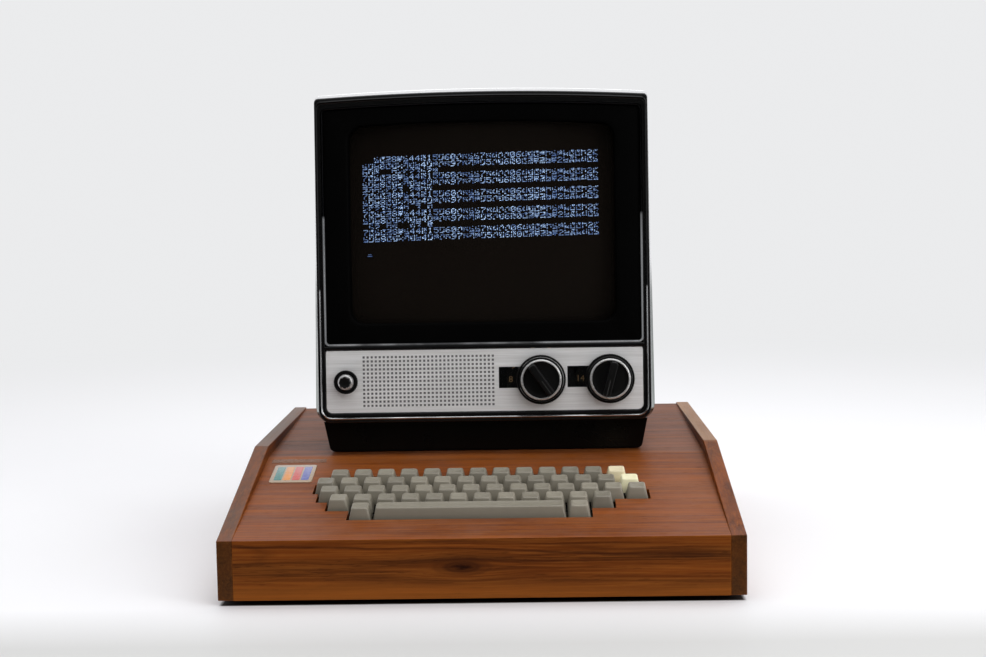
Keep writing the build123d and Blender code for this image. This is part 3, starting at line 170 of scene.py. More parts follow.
class StageSettings(bpy.types.PropertyGroup):
    """Floor, lights and camera."""

    floor: colour("Floor", "Pale floor under the computer", (0.93, 0.93, 0.94))
    wall: colour("Surroundings", "Pale surroundings seen behind the computer", (0.830, 0.835, 0.845))
    overhead: power("Overhead light", "Soft light above", 24)
    fill: power("Fill light", "Weak light from the front", 17.5)
    side: power("Side light", "Soft light from the right", 15)
    lens: FloatProperty(name="Focal length", description="Focal length of the camera", default=58.42,
                        min=1, subtype="DISTANCE_CAMERA", unit="CAMERA")


# ---------------------------------------------------------------- nodes
class Net:
    """Nodes of one material or group, joined as they are made."""

    def __init__(self, tree):
        self.tree = tree

    def feed(self, socket, value):
        """Joins an output to a socket, or sets the socket's own value."""
        if isinstance(value, bpy.types.NodeSocket):
            self.tree.links.new(value, socket)
        elif value is not None:
            if socket.type == "RGBA" and len(value) == 3:
                value = (*value, 1)
            socket.default_value = value

    def node(self, kind, *values, **options):
        """A node with its options, and with its first sockets fed in order."""
        made = self.tree.nodes.new(kind)
        for key, value in options.items():
            setattr(made, key, value)
        for socket, value in zip(made.inputs, values):
            self.feed(socket, value)
        return made

    def fill(self, made, **values):
        """A node's outputs, with its sockets fed by name."""
        for key, value in values.items():
            self.feed(made.inputs[key.replace("_", " ").capitalize()], value)
        return made.outputs

    def math(self, operation, first, second=None, clamp=False):
        return self.node("ShaderNodeMath", first, second, operation=operation, use_clamp=clamp).outputs[0]

    def times(self, first, second):
        return self.math("MULTIPLY", first, second)

    def plus(self, first, second, clamp=False):
        return self.math("ADD", first, second, clamp)

    def minus(self, first, second):
        return self.math("SUBTRACT", first, second)

    def absolute(self, value):
        """The value without its sign."""
        return self.math("ABSOLUTE", value)

    def span(self, value, low, high, start=0.0, end=1.0):
        """Value mapped from low..high to start..end."""
        return self.node("ShaderNodeMapRange", value, low, high, start, end).outputs[0]

    def mix(self, factor, first, second):
        """Colour between two colours; the node keeps its colour sockets after those of other kinds."""
        made = self.node("ShaderNodeMix", data_type="RGBA")
        for index, value in ((0, factor), (6, first), (7, second)):
            self.feed(made.inputs[index], value)
        return made.outputs[2]

    def coords(self):
        return self.node("ShaderNodeTexCoord").outputs["Object"]

    def split(self, vector):
        return self.node("ShaderNodeSeparateXYZ", vector).outputs

    def join(self, x, y, z):
        return self.node("ShaderNodeCombineXYZ", x, y, z).outputs[0]

    def stretch(self, vector, scale, location=(0, 0, 0)):
        return self.fill(self.node("ShaderNodeMapping"), vector=vector, location=location, scale=scale)[0]

    def noise(self, vector, scale=1.0, detail=2.0, roughness=0.5, distortion=0.0):
        return self.fill(self.node("ShaderNodeTexNoise"), vector=vector, scale=scale, detail=detail,
                         roughness=roughness, distortion=distortion)[0]

    def bump(self, height, distance, strength=1.0):
        return self.fill(self.node("ShaderNodeBump"), height=height, distance=distance, strength=strength)[0]

    def group(self, name, **values):
        """An effect placed with its own values."""
        return self.fill(self.node("ShaderNodeGroup", node_tree=bpy.data.node_groups[name]), **values)

    def facing(self):
        """Direction that the surface faces."""
        return self.node("ShaderNodeNewGeometry").outputs["Normal"]

    def own_shade(self):
        """Share of light or dark that a piece of the mesh carries itself."""
        return self.node("ShaderNodeAttribute", attribute_name=SHADE).outputs["Fac"]

    def smudged(self, vector, low, high):
        """Roughness between two values, with handling marks."""
        return self.group("Smudges", vector=vector, low=low, high=high)["Roughness"]

    def dusted(self, vector, base, amount, tone):
        """The colour with dust lying on it, and the mask of that dust."""
        mask = self.times(self.group("Dust", vector=vector)["Mask"], amount)
        return self.mix(mask, base, tone), mask


def make_group(name, inputs, outputs, build):
    """A shader node group with named sockets; build takes the net and the inputs."""
    tree = bpy.data.node_groups.new(name, "ShaderNodeTree")
    kinds = {"V": "NodeSocketVector", "C": "NodeSocketColor", "F": "NodeSocketFloat"}
    for label, kind, value in inputs:
        socket = tree.interface.new_socket(label, in_out="INPUT", socket_type=kinds[kind])
        if value is not None:
            socket.default_value = value
    for label, kind in outputs:
        tree.interface.new_socket(label, in_out="OUTPUT", socket_type=kinds[kind])
    net = Net(tree)
    given = net.node("NodeGroupInput")
    taken = net.node("NodeGroupOutput")
    for label, value in build(net, given.outputs).items():
        net.feed(taken.inputs[label], value)


def wood_grain(net, given):
    """Walnut with its grain along the vector's x: figure, fine lines and open pores."""
    vector = given["Vector"]
    contour = net.noise(net.stretch(vector, (0.9, 15, 15)), detail=2.5, distortion=0.2)
    figure = net.absolute(net.math("SINE", net.times(contour, 62)))
    streaks = net.noise(net.stretch(vector, (2.6, 80, 80), location=(3, 1, 7)), detail=5, roughness=0.62)
    fine = net.noise(net.stretch(vector, (11, 520, 520)), detail=4, roughness=0.65)
    patches = net.noise(net.stretch(vector, (3.5, 9, 9), location=(9, 4, 2)), detail=2)
    dashes = net.noise(net.stretch(vector, (95, 1500, 1500)), detail=1.5)
    pores = net.times(net.span(dashes, 0.60, 0.70), net.span(streaks, 0.65, 0.40))
    base = net.mix(net.span(streaks, 0.32, 0.62), given["Dark"], given["Middle"])
    base = net.mix(net.span(fine, 0.42, 0.72, 0, 0.62), base, given["Light"])
    base = net.mix(net.span(figure, 0.30, 0.0, 0, 0.30), base, given["Dark"])
    base = net.mix(net.span(patches, 0.45, 0.75, 0, 0.30), base, given["Light"])
    base = net.mix(net.times(pores, 0.55), base, given["Dark"])
    height = net.minus(net.times(fine, 0.35), pores)
    rough = net.plus(net.span(fine, 0.3, 0.7, 0.36, 0.48), net.times(pores, 0.2))
    return {"Colour": base, "Roughness": rough, "Height": height}


def edge_wear_and_highlight(net, given):
    """Edge masks for worn edges and painted highlights: Mask is broken up so that it is uneven, Edge is
    whole.
    """
    bevel = net.node("ShaderNodeBevel", given["Radius"], samples=4).outputs[0]
    bend = net.node("ShaderNodeVectorMath", bevel, net.facing(), operation="DOT_PRODUCT").outputs["Value"]
    edge = net.span(bend, 0.995, 0.86)
    broken = net.span(net.noise(given["Vector"], 90, detail=4), 0.35, 0.62)
    return {"Mask": net.times(edge, broken), "Edge": edge}


def moulded_texture(net, given):
    """Fine leathery skin of moulded plastic."""
    coarse = net.noise(given["Vector"], given["Scale"], detail=2)
    fine = net.noise(given["Vector"], 4200, detail=1)
    height = net.plus(coarse, net.times(fine, 0.3))
    return {"Height": height, "Tone": net.span(coarse, 0.35, 0.65)}


def dust(net, given):
    """Mask of the thin dust that lies on surfaces facing up."""
    up = net.span(net.split(net.facing())[2], 0.35, 0.95)
    cloud = net.span(net.noise(given["Vector"], 34, detail=6, roughness=0.7), 0.35, 0.75)
    return {"Mask": net.times(up, cloud)}


def brushed_metal(net, given):
    """Fine parallel scratches along the vector's x."""
    fine = net.noise(net.stretch(given["Vector"], (22, 2600, 2600)), detail=3, roughness=0.7)
    broad = net.noise(net.stretch(given["Vector"], (4, 340, 340), location=(5, 2, 1)), detail=3)
    tone = net.plus(net.times(fine, 0.6), net.times(broad, 0.4))
    return {"Tone": net.span(tone, 0.36, 0.64), "Height": fine}


def smudges(net, given):
    """Roughness between two values, with handling marks."""
    marks = net.noise(given["Vector"], 26, detail=5, roughness=0.6, distortion=0.8)
    low = net.times(given["Low"], net.span(marks, 0.62, 0.38))
    high = net.times(given["High"], net.span(marks, 0.38, 0.62))
    return {"Roughness": net.plus(low, high)}


def build_groups():
    """Effects that several finishes share."""
    vector = ("Vector", "V", None)
    make_group("Wood grain", (vector, ("Dark", "C", None), ("Middle", "C", None), ("Light", "C", None)),
               (("Colour", "C"), ("Roughness", "F"), ("Height", "F")), wood_grain)
    make_group("Edge wear", (vector, ("Radius", "F", 1 * MM)), (("Mask", "F"), ("Edge", "F")), edge_wear_and_highlight)
    make_group("Moulded texture", (vector, ("Scale", "F", 900)), (("Height", "F"), ("Tone", "F")),
               moulded_texture)
    make_group("Dust", (vector,), (("Mask", "F"),), dust)
    make_group("Brushed metal", (vector,), (("Tone", "F"), ("Height", "F")), brushed_metal)
    make_group("Smudges", (vector, ("Low", "F", 0.3), ("High", "F", 0.5)), (("Roughness", "F"),), smudges)


def material(name, build, **fixed):
    """A material whose build returns what feeds the shader; fixed sockets keep plain values."""
    made = bpy.data.materials.new(name)
    made.use_nodes = True
    shader = made.node_tree.nodes["Principled BSDF"]
    net = Net(made.node_tree)
    for key, value in fixed.items():
        net.feed(shader.inputs[key.replace("_", " ")], value)
    for key, value in build(net).items():
        net.feed(shader.inputs[key], value)
    return made


def shade(tone, factor):
    """A colour made lighter or darker."""
    return tuple(min(channel * factor, 1) for channel in tone)


def plastic(name, tone, low=0.3, high=0.45, grain=900, depth=0.02, dusty=0.12, worn=0.25, **fixed):
    """Moulded plastic: uneven tone, skin, dust, and lighter rubbed edges."""
    def build(net):
        at = net.coords()
        skin = net.group("Moulded texture", vector=at, scale=grain)
        cloud = net.span(net.noise(at, 18, detail=3), 0.3, 0.7)
        base = net.mix(cloud, shade(tone, 0.86), shade(tone, 1.12))
        base = net.mix(net.times(skin["Tone"], 0.12), base, shade(tone, 0.6))
        edge_lightening = net.times(net.group("Edge wear", vector=at, radius=0.6 * MM)["Mask"], worn)
        base = net.mix(edge_lightening, base, shade(tone, 1.9))
        base, dust_mask = net.dusted(at, base, dusty, (0.34, 0.32, 0.29))
        rough = net.plus(net.smudged(at, low, high), net.times(dust_mask, 0.5), clamp=True)
        return {"Base Color": base, "Roughness": rough,
                "Normal": net.bump(skin["Height"], depth * MM, 0.6)}
    return material(name, build, **fixed)


def metal(name, tone, low=0.2, high=0.35, depth=0.01, **fixed):
    """Metal with fine scratches along its x."""
    def build(net):
        at = net.coords()
        lines = net.group("Brushed metal", vector=at)
        base = net.mix(lines["Tone"], shade(tone, 0.8), shade(tone, 1.15))
        base, _ = net.dusted(at, base, 0.1, (0.3, 0.28, 0.25))
        rough = net.plus(net.smudged(at, low, high), net.times(lines["Tone"], 0.08))
        return {"Base Color": base, "Roughness": rough,
                "Normal": net.bump(lines["Height"], depth * MM, 0.5)}
    fixed.setdefault("Metallic", 1.0)
    return material(name, build, **fixed)


def swapped(net, at):
    """Coordinates with x and y exchanged, for grain that runs front to back."""
    x, y, z = net.split(at)[:3]
    return net.join(y, x, z)


def wood(name, tones, along_y=False, detail=None, offset=(0, 0, 0), gloss=0.2):
    """Oiled wood; detail may bend the coordinates that the grain follows, and add marks over it."""
    dark, middle, light = tones

    def build(net):
        at = net.coords()
        run = net.stretch(swapped(net, at) if along_y else at, (1, 1, 1), location=offset)
        given = detail(net, at) if detail else {}
        grain = net.group("Wood grain", vector=given.get("run", run), dark=dark, middle=middle, light=light)
        base = grain["Colour"]
        for mask, tone in given.get("marks", ()):
            base = net.mix(mask, base, tone)
        # Lighter edges: partly worn, partly a painted highlight along them.
        edge_lightening = net.group("Edge wear", vector=at, radius=1.4 * MM)
        base = net.mix(net.times(edge_lightening["Mask"], 0.45), base, light)
        base, _ = net.dusted(at, base, 0.06, (0.45, 0.42, 0.40))
        return {"Base Color": base, "Roughness": grain["Roughness"],
                "Normal": net.bump(grain["Height"], 0.05 * MM, 0.7)}
    return material(name, build, Specular_IOR_Level=gloss)


def front_figure(dark, light):
    """Knot and wavy dark line of the front board, and a paler strip low down, painted light bounced from the
    floor.
    """
    def detail(net, at):
        x, y, z = net.split(at)[:3]
        across = net.math("DIVIDE", net.minus(x, KNOT_X * MM), KNOT_WIDTH * MM)
        up = net.math("DIVIDE", net.minus(z, KNOT_Z * MM), KNOT_HEIGHT * MM)
        reach = net.plus(net.math("POWER", across, 2), net.math("POWER", up, 2))
        pull = net.math("POWER", math.e, net.times(reach, -0.5))
        moved = net.minus(z, net.times(net.times(pull, up), KNOT_PUSH * MM))
        rings = net.math("SINE", net.times(net.math("SQRT", reach), KNOT_RINGS))
        knot = net.times(net.span(reach, 0.9, 0.05), net.span(rings, -0.6, 0.9, 0.55, 1.0))
        cracks = net.noise(net.stretch(at, (160, 0, 420)), detail=3)
        core = net.times(net.span(reach, 0.16, 0.02), net.span(cracks, 0.35, 0.55, 0.3, 1))
        wander = net.times(net.noise(net.stretch(at, (14, 0, 0)), detail=3), LINE_WANDER * MM)
        line = net.minus(net.minus(LINE_Z * MM, net.times(x, LINE_FALL)), wander)
        broken = net.noise(net.stretch(at, (30, 0, 400)), detail=3)
        streak = net.times(net.span(net.absolute(net.minus(moved, line)), 1.7 * MM, 0.2 * MM),
                           net.span(broken, 0.3, 0.6, 0.25, 0.8))
        # Painted light: the board is paler low down, where light bounces up from the floor.
        painted_floor_bounce = net.span(z, 19 * MM, 8 * MM, 0, 0.42)
        return {"run": net.join(x, y, moved),
                "marks": ((painted_floor_bounce, light), (streak, dark), (net.times(knot, 0.9), dark),
                          (core, shade(dark, 0.4)))}
    return detail


def side_figure(rear_top, front_top, rear_amount, front_amount, dark):
    """Paler upper edges and darker end grain of a side panel; the left panel's greyed edges are partly
    painted sheen.
    """
    def detail(net, at):
        y = net.split(at)[1]
        facing = net.split(net.facing())
        upward = net.span(facing[2], 0.6, 0.9)
        cloud = net.noise(net.stretch(at, (60, 14, 60)), detail=4, roughness=0.6)
        rear = net.times(net.span(y, (SIDE_BEND - 4) * MM, (SIDE_BEND + 4) * MM), upward)
        front = net.minus(upward, rear)
        end = net.span(facing[1], -0.5, -0.9)
        rear = net.times(rear, net.span(cloud, 0.25, 0.6, rear_amount * 0.55, rear_amount))
        front = net.times(front, net.span(cloud, 0.25, 0.6, front_amount * 0.4, front_amount))
        return {"marks": ((rear, rear_top), (front, front_top), (net.times(end, 0.7), dark))}
    return detail


def printed_board(name):
    """Green circuit board with bright tracks under its varnish."""
    def build(net):
        at = net.coords()
        cell = net.node("ShaderNodeTexBrick", net.stretch(at, (1, 1, 0)), (0.8, 0.8, 0.8, 1),
                        (0.2, 0.2, 0.2, 1), (0, 0, 0, 1), 150, offset=0.37)
        mask = net.span(net.node("ShaderNodeSeparateColor", cell.outputs["Color"]).outputs[0], 0.3, 0.6)
        cloud = net.noise(at, 60, detail=3)
        base = net.mix(cloud, (0.010, 0.055, 0.022), (0.020, 0.100, 0.040))
        base = net.mix(net.times(mask, 0.5), base, (0.16, 0.22, 0.09))
        rough = net.smudged(at, 0.25, 0.4)
        return {"Base Color": base, "Roughness": rough, "Normal": net.bump(mask, 0.03 * MM)}
    return material(name, build)


def wound_wire(name, tone):
    """Layers of fine enamelled wire."""
    def build(net):
        at = net.coords()
        turns = net.math("SINE", net.times(net.split(at)[1], 5200))
        cloud = net.noise(net.stretch(at, (40, 900, 40)), detail=3)
        base = net.mix(cloud, shade(tone, 0.5), shade(tone, 1.2))
        base = net.mix(net.span(turns, 0, 1, 0, 0.4), base, shade(tone, 0.4))
        rough = net.smudged(at, 0.3, 0.45)
        return {"Base Color": base, "Roughness": rough, "Normal": net.bump(turns, 0.1 * MM)}
    return material(name, build, Metallic=0.7)


def clear_plastic(name, roughness):
    """Clear pane with faint scratches."""
    def build(net):
        at = net.coords()
        rough = net.smudged(at, roughness, roughness * 2)
        scratch = net.noise(net.stretch(at, (300, 300, 60)), detail=3)
        tone = net.mix(net.noise(at, 40, detail=2), (0.93, 0.95, 0.95), (0.98, 0.98, 0.97))
        return {"Base Color": tone, "Roughness": rough, "Normal": net.bump(scratch, 0.01 * MM)}
    return material(name, build, Transmission_Weight=1.0, IOR=1.49)


def key_plastic(name, tone):
    """Cap plastic; each cap has its own shade, with painted highlights on its edges and painted shade low
    down.
    """
    def build(net):
        at = net.coords()
        own = net.own_shade()
        skin = net.group("Moulded texture", vector=at, scale=1500)
        base = net.mix(own, shade(tone, 0.84), shade(tone, 1.12))
        # Painted shade: each cap darkens towards its foot, down among the other caps by the deck.
        painted_shade_low = net.span(net.split(at)[2], 3 * MM, -2 * MM, 0, 0.5)
        base = net.mix(painted_shade_low, base, shade(tone, 0.35))
        # Painted highlight along all the edges of the cap.
        edge_lightening = net.group("Edge wear", vector=at, radius=0.7 * MM)
        base = net.mix(net.times(edge_lightening["Edge"], 0.22), base, shade(tone, 1.5))
        cloud = net.noise(at, 120, detail=3)
        base = net.mix(net.span(cloud, 0.4, 0.7, 0, 0.16), base, shade(tone, 0.7))
        rough = net.smudged(at, 0.34, 0.5)
        return {"Base Color": base, "Roughness": rough, "Normal": net.bump(skin["Height"], 0.03 * MM, 0.5)}
    return material(name, build)


def screen_glass(name, tone):
    """Dark face of the tube, a little lighter and greyer low down, a painted reflection."""
    def build(net):
        at = net.coords()
        # Painted reflection: the glass is lighter low down.
        height = net.span(net.split(at)[2], 0.05, 0.27)
        cloud = net.span(net.noise(at, 7, detail=2), 0.3, 0.7)
        base = net.mix(height, shade(tone, 1.25), shade(tone, 0.8))
        base = net.mix(net.times(cloud, 0.4), base, shade(tone, 0.7))
        rough = net.smudged(at, 0.05, 0.10)
        return {"Base Color": base, "Roughness": rough}
    return material(name, build, Specular_IOR_Level=0.35)


def glowing(name, tone, strength):
    """Phosphor dots: uneven light over the screen."""
    def build(net):
        at = net.coords()
        cloud = net.span(net.noise(at, 160, detail=3), 0.3, 0.7)
        own = net.own_shade()
        light = net.mix(own, (0.008, 0.035, 0.140), tone)
        light = net.mix(net.times(cloud, 0.3), light, shade(tone, 0.2))
        return {"Emission Color": light, "Base Color": net.mix(cloud, (0.01, 0.01, 0.01), (0.02, 0.02, 0.02)),
                "Roughness": net.span(cloud, 0, 1, 0.3, 0.4)}
    return material(name, build, Emission_Strength=strength)


# ---------------------------------------------------------------- meshes
def spread(first, last, count):
    """Points strictly between two points."""
    return [tuple(a + (b - a) * i / (count + 1) for a, b in zip(first, last)) for i in range(1, count + 1)]


def crowned(line, grow=0.0, steps=5, fill=24):
    """Outline with a crowned top, anticlockwise from the lower right, moved outward by grow."""
    half_low, half_high, low, high, crown, round_low, round_high = line
    half_low, half_high, low, high = half_low + grow, half_high + grow, low - grow, high + grow
    lower, upper = (low, half_low, round_low), (high, half_high, round_high)
    corners = []
    for quarter, (side, end) in enumerate(((1, lower), (1, upper), (-1, upper), (-1, lower))):
        level, half, radius = end
        radius = max(radius + grow, 0.4)
        y = level + radius if level == low else level - radius
        corner = []
        for step in range(steps + 1):
            angle = math.radians(90 * (quarter - 1) + 90 * step / steps)
            corner.append((side * (half - radius) + radius * math.cos(angle), y + radius * math.sin(angle)))
        corners.append(corner)
    points = []
    for corner, after in zip(corners, corners[1:] + corners[:1]):
        points += corner + spread(corner[-1], after[0], fill)
    crown_start = high - 6 - 2 * abs(grow)
    return [(x, y + crown * (1 - (x / half_high) ** 2) if y > crown_start else y) for x, y in points]


def between(outer, inner, part, depth):
    """Ring between two outlines, at a depth behind the face's front."""
    return [(a + (c - a) * part, depth, b + (d - b) * part) for (a, b), (c, d) in zip(outer, inner)]


def rounded_rect(width, height, radius, centre=(0, 0), steps=4):
    """Points of a rounded rectangle, anticlockwise, the same number for any size."""
    points = []
    for quarter, (side, end) in enumerate(((1, 1), (-1, 1), (-1, -1), (1, -1))):
        x = centre[0] + side * (width / 2 - radius)
        y = centre[1] + end * (height / 2 - radius)
        for step in range(steps + 1):
            angle = math.radians(90 * (quarter + step / steps))
            points.append((x + radius * math.cos(angle), y + radius * math.sin(angle)))
    return points


def loft(bm, rings, closed=False):
    """Skin over rings of equal length; its ends get faces, or are joined when closed."""
    made = [[bm.verts.new(point) for point in ring] for ring in rings]
    pairs = list(zip(made, made[1:]))
    if closed:
        pairs.append((made[-1], made[0]))
    faces = []
    for low, high in pairs:
        for i in range(len(low)):
            j = (i + 1) % len(low)
            faces.append(bm.faces.new((low[i], low[j], high[j], high[i])))
    if not closed:
        faces.append(bm.faces.new(made[0][::-1]))
        faces.append(bm.faces.new(made[-1]))
    return faces


def turned(bm, profile, steps=96, closed=False, teeth=0, index=0):
    """Body turned round z from (radius, height) points; a third value is the depth of its teeth."""
    rings = []
    for radius, height, *depth in profile:
        ring = []
        for step in range(steps):
            angle = 2 * math.pi * step / steps
            at = radius - sum(depth) * (0.5 - 0.5 * math.cos(teeth * angle))
            ring.append((at * math.cos(angle), at * math.sin(angle), height))
        rings.append(ring)
    for face in loft(bm, rings, closed):
        face.material_index = index


def slab(bm, outline, low, high, rounding=0.0, index=0):
    """Flat body over an outline function of an inset, with a rounded upper edge."""
    rings = [[(x, y, low) for x, y in outline(0)]]
    steps = 3 if rounding else 0
    for step in range(steps + 1):
        angle = math.radians(90 * step / steps) if steps else 0
        inset = rounding * (1 - math.cos(angle))
        rings.append([(x, y, high - rounding + rounding * math.sin(angle)) for x, y in outline(inset)])
    for face in loft(bm, rings):
        face.material_index = index


def make_object(name, bm, place, *materials, smooth=38.0):
    """The mesh, given in millimetres, as an object in its frame."""
    bmesh.ops.recalc_face_normals(bm, faces=bm.faces)
    bmesh.ops.scale(bm, vec=(MM, MM, MM), verts=bm.verts)
    mesh = bpy.data.meshes.new(name)
    bm.to_mesh(mesh)
    bm.free()
    for finish in materials:
        mesh.materials.append(finish)
    mesh.polygons.foreach_set("use_smooth", [True] * len(mesh.polygons))
    mesh.set_sharp_from_angle(angle=math.radians(smooth))
    made = bpy.data.objects.new(name, mesh)
    bpy.context.scene.collection.objects.link(made)
    made.matrix_world = place
    return made


def carry(piece, body, slot, *nodes):
    """The piece rides on a body and stands for its nodes, which it hides; slot is not used."""
    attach(piece, body)
    if nodes:
        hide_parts(*nodes)


def dress(finish, names):
    """CAD nodes whose shape is right get a finish."""
    for name in names.split():
        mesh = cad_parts[name].data
        if not mesh.materials:
            mesh.materials.append(finish)
        for index in range(len(mesh.materials)):
            mesh.materials[index] = finish


def axis(x):
    """Frame of a control: z out of the face, y up it."""
    return (FACE @ Matrix.Translation((x * MM, 0, CONTROL_HEIGHT * MM))
            @ Matrix.Rotation(math.radians(90), 4, "X"))


# ---------------------------------------------------------------- case
def build_case(settings):
    """Walnut panels, plywood floor, blocks, screws and feet."""
    tones = dark, middle, light = settings.dark, settings.middle, settings.light
    # Painted shade: the front board takes darker copies of the tones, as it faces away from the light.
    front = [shade(tone, 0.86) for tone in tones]
    # Painted sheen: the sloping deck takes lighter copies of the tones, for the pale sheen that it catches.
    deck = (shade(dark, 2.4), shade(middle, 1.14), shade(light, 1.05))
    bleach_and_sheen = settings.bleach_and_sheen
    end_grain = (0.036, 0.016, 0.003)
    # The left panel's greyed upper edges: partly bleaching, partly painted sheen of the light.
    left = side_figure(bleach_and_sheen, shade(bleach_and_sheen, 0.55), 0.85, 0.5, end_grain)
    right = side_figure(settings.sapwood, middle, 0.85, 0.3, end_grain)
    for name, node, colours, offset, gloss, detail in (
            ("front_walnut", "front_panel", front, (0, 0, 0), 0.06, front_figure(dark, light)),
            ("deck_walnut", "keyboard_deck", deck, (0.3, 0.41, 0.1), 0.15, None),
            ("rear_deck_walnut", "rear_deck", tones, (0.9, 0.2, 0.5), 0.12, None),
            ("back_walnut", "back_panel", tones, (1.7, 0.6, 0.2), 0.2, None),
            ("left_walnut", "left_side_panel", tones, (0.5, 0.2, 0.3), 0.12, left),
            ("right_walnut", "right_side_panel", tones, (0.1, 0.7, 0.8), 0.12, right)):
        dress(wood(name, colours, node.endswith("side_panel"), detail, offset, gloss), node)
    birch = ((0.30, 0.19, 0.10), (0.50, 0.35, 0.20), (0.66, 0.50, 0.32))
    dress(wood("birch_plywood", birch), "floor_panel glue_blocks")
    dress(metal("zinc_steel", (0.55, 0.55, 0.56)), "case_screws rear_screws")
    dress(plastic("black_rubber", (0.018, 0.018, 0.018), 0.7, 0.85, grain=600, depth=0.05),
          "case_feet pedestal_pads")


def enamel(name, tone):
    """Glossy enamel with faint clouds."""
    return plastic(name, tone, 0.16, 0.28, grain=500, depth=0.01, dusty=0.05, worn=0.1, Coat_Weight=0.6)


def build_badge(settings):
    """Small enamel badge with four plain upright bars, and the clear strip above it."""
    bm = bmesh.new()
    (x, y), (width, length) = BADGE_PLACE, BADGE_SIZE
    bar_width, bar_length, bar_pitch = BADGE_BAR
    slab(bm, lambda inset: rounded_rect(width - 2 * inset, length - 2 * inset, 3 - inset, (x, y), 6), 0, 0.5,
         0.3)
    tones = [enamel("badge_field", settings.badge_field)]
    for bar in range(1, 5):
        bar_x = x + (bar - 2.5) * bar_pitch
        slab(bm, lambda inset: rounded_rect(bar_width - 2 * inset, bar_length - 2 * inset, 1.2 - inset,
                                            (bar_x, y)), 0.2, 0.6, 0.08, index=bar)
        tones.append(enamel(f"badge_bar_{bar}", getattr(settings, f"bar_{bar}")))
    carry(make_object("badge_plate", bm, DECK, *tones), "case", "badge_enamel", "badge")

    bm = bmesh.new()
    width, length = STRIP_SIZE
    slab(bm, lambda inset: rounded_rect(width - 2 * inset, length - 2 * inset, 1 - inset, STRIP_PLACE), 0.02,
         0.4, 0.12)
    film = plastic("clear_strip", (0.34, 0.17, 0.10), 0.3, 0.4, depth=0.005, dusty=0, worn=0, Alpha=0.4)
    carry(make_object("clear_strip", bm, DECK, film), "case", "clear_plastic", "badge_label")


# ---------------------------------------------------------------- keys
def cap_ring(centre, width, part, inset, z):
    """Outline of a cap at part of its way from skirt (0) to top (1)."""
    x, s = centre
    narrower, shorter, shift = CAP_TAPER
    across = width - narrower * part - 2 * inset
    along = CAP_SKIRT - shorter * part - 2 * inset
    corner = max(1.2 + part - inset, 0.35)
    return [(px, py, z) for px, py in rounded_rect(across, along, corner, (x, s + shift * part), 3)]


def add_cap(bm, centre, width, stems, tint, sizes):
    """Hollow tapered cap with a rounded rim, a dished top and its square stems."""
    dish, rim, wall = sizes
    height = CAP_TOP - CAP_LOW
    ceiling = CAP_TOP - dish - wall
    rings = [cap_ring(centre, width, part, inset, z) for part, inset, z in (
        ((ceiling - CAP_LOW) / height, wall, ceiling), (0, wall, CAP_LOW), (0, 0.25, CAP_LOW),
        (0, 0, CAP_LOW + 0.25), (0.5, 0, CAP_LOW + height / 2))]
    for angle in (0, 30, 60, 90):
        rise, out = math.sin(math.radians(angle)), math.cos(math.radians(angle))
        rings.append(cap_ring(centre, width, 1 - rim * (1 - rise) / height, rim * (1 - out),
                              CAP_TOP - rim + rim * rise))
    for inset in (1.7, 2.8, 4.0, 5.2, 6.1):
        fall = 1 - (1 - (inset - rim) / 5.6) ** 2
        rings.append(cap_ring(centre, width, 1, inset, CAP_TOP - dish * fall))
    start = len(bm.verts)
    loft(bm, rings)
    for stem in stems:
        square = rounded_rect(STEM_SIZE, STEM_SIZE, 0.5, (centre[0] + stem, centre[1]), 2)
        loft(bm, [[(x, y, z) for x, y in square] for z in (STEM_FOOT, ceiling + 0.4)])
    layer = bm.verts.layers.float[SHADE]
    bm.verts.ensure_lookup_table()
    for vert in bm.verts[start:]:
        vert[layer] = tint


def build_keys(settings):
    """Rows of dished caps, the two cream caps and the space bar."""
    grey = key_plastic("grey_caps", settings.grey)
    cream = key_plastic("cream_caps", settings.cream)
    sizes = (settings.dish / MM, settings.rim / MM, settings.wall / MM)
    chance = random.Random(CAP_SEED)
    for name, row, first, count, pitches, stems, body in KEY_GROUPS:
        bm = bmesh.new()
        bm.verts.layers.float.new(SHADE)
        for key in range(count):
            centre = (KEY_SHIFT + (first + key) * KEY_PITCH, FRONT_ROW + (LAST_ROW - row) * KEY_PITCH)
            width = CAP_SKIRT + (pitches - 1) * KEY_PITCH
            add_cap(bm, centre, width, stems, chance.random(), sizes)
        pale = name.startswith("cream")
        piece = make_object(name + "_caps", bm, DECK, cream if pale else grey)
        carry(piece, body, "key_cream" if pale else "key_grey", name)


# ---------------------------------------------------------------- screen
# Width and height of a lit dot, its pitch along a row and from row to row, and how much the rows
# rise to the right.
DOT_WIDTH, DOT_HEIGHT, DOT_PITCH, DOT_ROW_PITCH = 0.72, 0.56, 0.82, 0.72
SCREEN_TILT = 0.020
# Blocks of three lines: the place of the first character, its pitch along and from line to line,
# and the pitch of the blocks. The third line of a block stops after the first few columns.
SCREEN_PLACE, COLUMN_PITCH, LINE_PITCH, BLOCK_PITCH = (-103.8, 232.9), 5.15, (5.8, 11.4), 15.8
BLOCKS, COLUMNS, LONG_COLUMNS, SHAPES = 5, 40, 13, 32
LAST_GLYPH_PLACE = (-100.5, 148.5)  # a single faint one under the blocks
# Chance that a dot is lit in each column of a made-up character.
LIT_CHANCES = (0.55, 0.14, 0.2, 0.14, 0.55)


